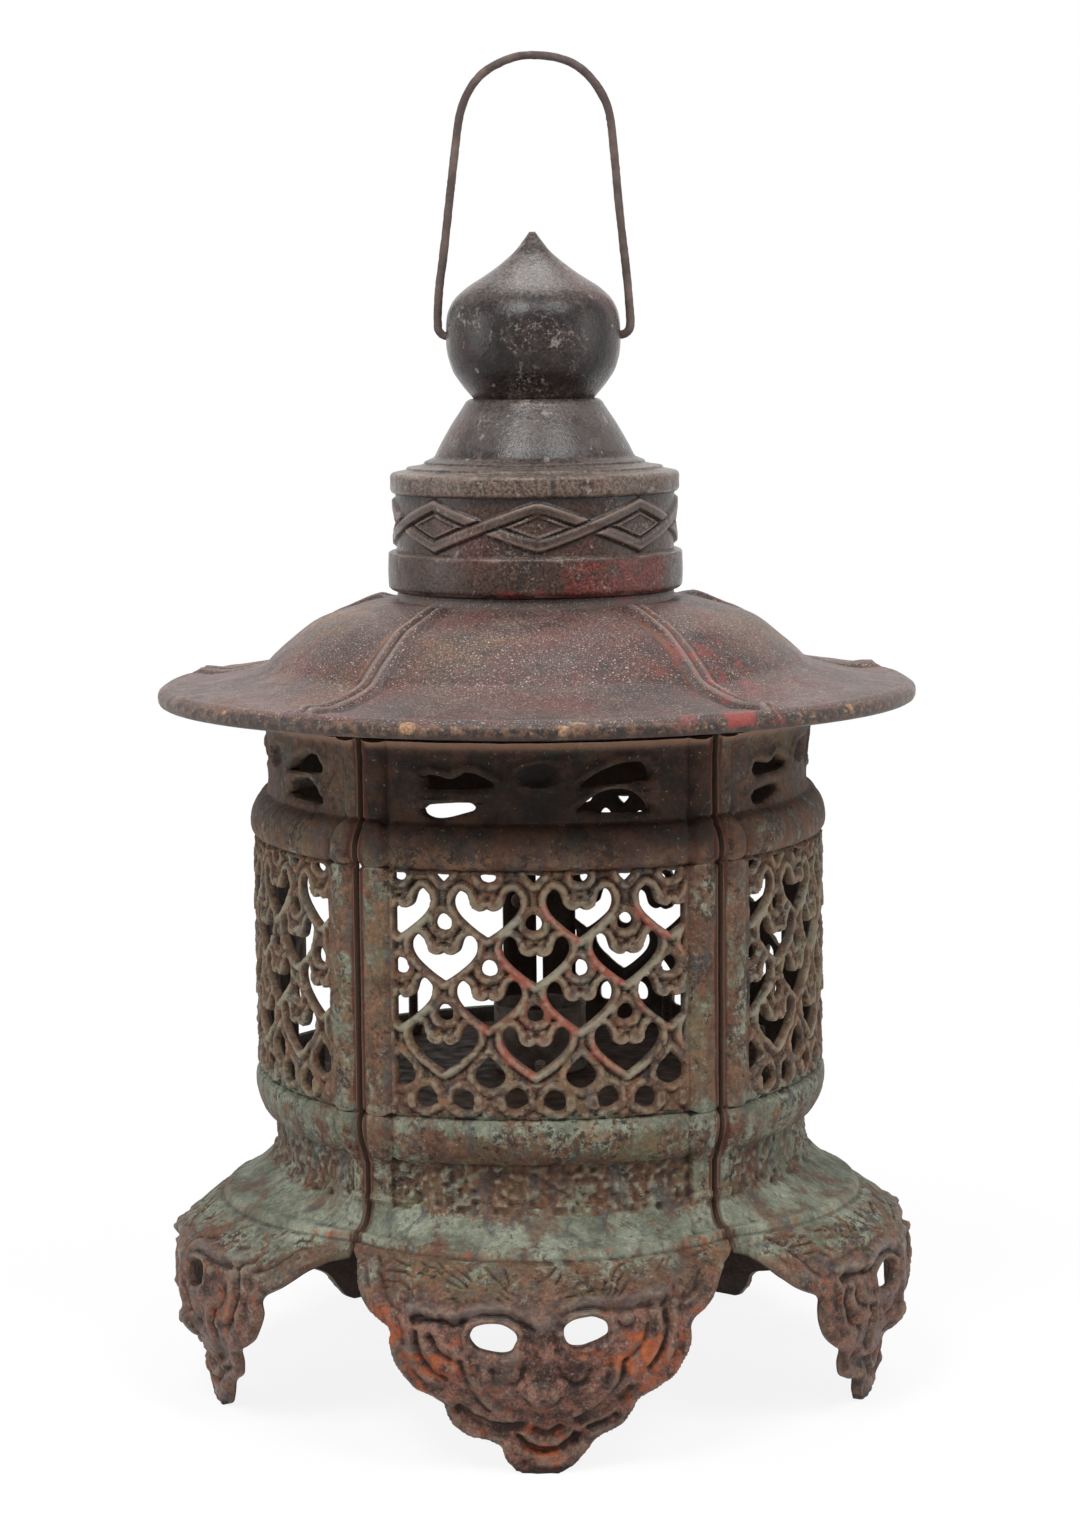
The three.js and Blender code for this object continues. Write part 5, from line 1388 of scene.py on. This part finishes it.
def make_floor():
    rows = np.concatenate([[2.3], np.linspace(6, 60, 28), np.linspace(61.5, 76.2, 22), [76.9, 77.4, 77.6]])
    r, angle = np.meshgrid(rows, np.linspace(0, 2 * math.pi, 361), indexing="ij")
    x, y = r * np.sin(angle), -r * np.cos(angle)
    solid = np.full(x.shape, 5.0)
    for side in range(SIDES):
        bolt_x, bolt_y = bolt_place(side)
        solid = np.minimum(solid, np.hypot(x - bolt_x, y - bolt_y) - BOLT_HOLE)
    place = flat(x, y)
    dent = 0.12 * noise(place, 12, 92) + 0.06 * noise(place, 3, 93)
    soft = 0.5 * ease(76.4, 77.6, r)
    top = np.stack([x, y, FLOOR_TOP - 0.15 + dent - soft], -1)
    low = np.stack([x, y, FLOOR_LOW + 0.1 + 0.5 * dent + soft], -1)
    sheet_piece("floor_disc", "floor_plate", "rusty_plate", (solid, low, low, top, {}), periodic=True)


make_cup()
make_floor()

BOLT_RADIUS = 1.6
HEAD_RADIUS = 3.04
ROD_RADIUS = 3.0
ROD_NUT_RADIUS = 6.0
# Heights from and to
SCREW_SHANK, SCREW_HEAD = (202.0, 216.8), (199.6, 202.2)
BOLT_SHANK, BOLT_HEAD, BOLT_NUT = (87.6, 112.0), (85.4, 88.0), (95.4, 98.0)
ROD_SHANK, ROD_NUT = (226.9, 331.8), (228.9, 233.9)
ROD_WASHER = [(7.7, 234.2), (8, 234.5), (8, 235.4), (7.7, 235.7)]
CUP_RIVET = [
    (0.3, 90.4), (2.4, 90.5), (3.4, 91), (3.5, 91.8), (2, 91.3), (2, 96.9), (4, 96.9), (3.9, 97.6),
    (3.2, 98.2), (1.6, 98.5), (0.3, 98.5),
]


def threaded(low, high, radius, y, pitch=0.7):
    """A shank with thread from low to high, and a chamfered end."""
    profile = [(radius * 0.8, low)]
    root = radius * 0.86
    z = low
    while z < high - pitch:
        turn = ((root, 0), (radius, 0.35), (radius, 0.5), (root, 0.85))
        profile += [(r, z + share * pitch) for r, share in turn]
        z += pitch
    return upright(profile + [(root, high - 0.3), (radius * 0.6, high)], 20, 0, y)


def hexagon(low, high, radius, y):
    """A chamfered hexagon; its bore is hidden by the shank that fills it."""
    c = 0.12 * radius
    a = full_turn(36)
    flat = radius * math.cos(math.pi / 6) / np.cos((a % (math.pi / 3)) - math.pi / 6)
    rings = []
    for z, limit in ((low, radius * 0.9), (low + c, radius), (high - c, radius), (high, radius * 0.9)):
        r = np.minimum(flat, limit)
        rings.append(np.stack([r * np.cos(a), y + r * np.sin(a), 0 * a + z], 1))
    return loop_mesh(rings)


def steel(name, node, parts, turn=None, body="root"):
    points, faces = merged(parts)
    new_piece(name, node, "rusty_steel", turn(points) if turn else points, faces, 40, body=body)


def make_fasteners():
    y = -BOLT_CIRCLE
    for side, place in enumerate(PLACES):
        turn = turned_about(side * SECTOR)
        screw = [threaded(*SCREW_SHANK, BOLT_RADIUS, y), hexagon(*SCREW_HEAD, HEAD_RADIUS, y)]
        bolt = [threaded(*BOLT_SHANK, BOLT_RADIUS, y), hexagon(*BOLT_HEAD, HEAD_RADIUS, y)]
        steel("screw_" + place, "roof_screw_" + place, screw, turn)
        steel("bolt_" + place, "floor_bolt_" + place, bolt, turn)
        steel("nut_" + place, "floor_nut_" + place, [hexagon(*BOLT_NUT, HEAD_RADIUS, y)], turn)
    steel("rod", "tie_rod", [threaded(*ROD_SHANK, ROD_RADIUS, 0, 1.0)])
    steel("rod_washer", "tie_rod_washer", [upright(ROD_WASHER, 40)])
    steel("rod_nut", "tie_rod_nut", [hexagon(*ROD_NUT, ROD_NUT_RADIUS, 0)])
    steel("cup_rivet", "candle_cup_rivet", [upright(CUP_RIVET, 28)])
    for name, z in zip(("lower", "upper"), HINGE_HEIGHTS):
        reach = HINGE_LUG_FROM + HINGE_LUG_HIGH
        low, high = z - reach - 0.5, z + reach + 0.3
        pin = [(0.9, low), (1.25, low + 0.4), (1.25, high), (2.3, high), (2.3, high + 0.9), (1.7, high + 1.5),
               (0.5, high + 1.6)]
        pin = upright(pin, 24, HINGE_X, HINGE_Y)
        steel("pin_" + name, "hinge_pin_" + name, [pin], turned_about(DOORWAY_TURN))


make_fasteners()

LATCH_ANGLE = -0.54894
LATCH_WALL = LATTICE_RADIUS * plan_share(LATCH_ANGLE, WINDOW_MIDDLE)
LATCH_BACK = DOORWAY_BACK * plan_share(LATCH_ANGLE, WINDOW_MIDDLE)
LATCH_THICK = 2.0
LATCH_CHAMFER = 0.35
LATCH_HALF, LATCH_END = 2.8, 14.2
# The right half of the bar's outline, down from its top: shares of the half width, and heights
LATCH_LINE = [(0.45, 2.8), (0.86, 2.38), (1, 1.4), (0.95, -3), (0.74, -11.2), (0.62, -13.2),
              (0.25, -14.2)]


def make_latch():
    half = [(LATCH_HALF * share, z) for share, z in LATCH_LINE]
    outline = [(-x, z) for x, z in half[2::-1]] + half + [(-x, z) for x, z in half[:2:-1]]
    near = -LATCH_WALL - 0.4 - LATCH_THICK
    c = LATCH_CHAMFER
    bar = []
    for y, inset in ((0, c), (c, 0), (LATCH_THICK - c, 0), (LATCH_THICK, c)):
        wide, tall = 1 - inset / LATCH_HALF, 1 - inset / LATCH_END
        bar.append([(x * wide, near + y, WINDOW_MIDDLE + z * tall) for x, z in outline])
    face = -LATCH_WALL - LATCH_THICK - 0.8
    back = -LATCH_BACK + 0.3
    profile = [(0.3, face - 1.4), (1.8, face - 1.25), (2.6, face - 0.8), (2.8, face - 0.1), (2.8, face),
               (1.5, face), (1.5, back), (2.6, back), (2.5, back + 0.8), (1.6, back + 1.35),
               (0.3, back + 1.4)]
    a = full_turn(28)
    stud = [np.stack([r * np.cos(a), 0 * a + y, WINDOW_MIDDLE + r * np.sin(a)], 1) for r, y in profile]
    turn = in_doorway(LATCH_ANGLE)
    steel("latch_bar", "latch", [flipped(loop_mesh(bar))], turn, "latch")
    steel("latch_stud", "latch_rivet", [flipped(loop_mesh(stud))], turn)


make_latch()


# Floor, lamps and world

FLOOR_HALF = 6.0
WHITE = (1, 1, 1, 1)


def shown_white(n, dull, white, share=1.0):
    """White to the camera, in mirrors and through glass; dull to all other light."""
    rays = n.add("LightPath").outputs
    seen = n.math("MAXIMUM", rays["Is Camera Ray"], rays["Is Glossy Ray"])
    seen = n.math("MAXIMUM", seen, rays["Is Transmission Ray"])
    mix = n.add("MixShader", {0: n.times(seen, share), 1: dull.outputs[0], 2: white.outputs[0]})
    n.put(n.output.inputs["Surface"], mix.outputs[0])


def make_stage():
    corners = [(x * FLOOR_HALF, y * FLOOR_HALF, 0) for x, y in ((-1, -1), (1, -1), (1, 1), (-1, 1))]
    mesh = bpy.data.meshes.new("floor")
    mesh.from_pydata(corners, [], [(0, 1, 2, 3)])
    floor = linked("floor", mesh)
    n = Nodes(bpy.data.materials.new("pale_floor"))
    away = n.add("VectorMath", {0: n.place})
    away.operation = "LENGTH"
    shown_white(n, n.add("BsdfDiffuse", {"Color": (0.9, 0.89, 0.88, 1)}), n.add("Emission", {"Color": WHITE}),
                n.ramp(away.outputs["Value"], 0.1, 0.42, 0.88, 1.0))
    mesh.materials.append(n.owner)

    world = bpy.data.worlds.new("studio")
    bpy.context.scene.world = world
    n = Nodes(world, "OutputWorld")
    shown_white(n, n.add("Background", {"Color": (0.95, 0.97, 1.0, 1), "Strength": 0.25}),
                n.add("Background", {"Color": WHITE, "Strength": 1.0}))


def area_lamp(name, place, target, size, power):
    data = bpy.data.lights.new(name, "AREA")
    data.shape = "RECTANGLE"
    data.size, data.size_y = size
    data.energy = power
    lamp = linked(name, data)
    lamp.location = place
    lamp.rotation_mode = "QUATERNION"
    lamp.rotation_quaternion = (Vector(target) - Vector(place)).to_track_quat("-Z", "Y")


make_stage()
for lamp in (
    ("key", (-0.42, -0.9, 1.38), (0, 0, 0.2), (0.55, 0.55), 16),
    ("second", (0.55, -0.75, 1.28), (0, 0, 0.2), (0.5, 0.5), 10),
    ("left", (-1.15, -0.3, 0.42), (0, 0, 0.2), (0.5, 0.8), 4.5),
    ("right", (1.15, -0.3, 0.42), (0, 0, 0.2), (0.5, 0.8), 3.5),
    ("top", (0.0, 0.45, 1.5), (0, 0, 0.25), (0.8, 0.5), 8),
):
    area_lamp(*lamp)
bpy.context.scene.view_settings.view_transform = "Standard"
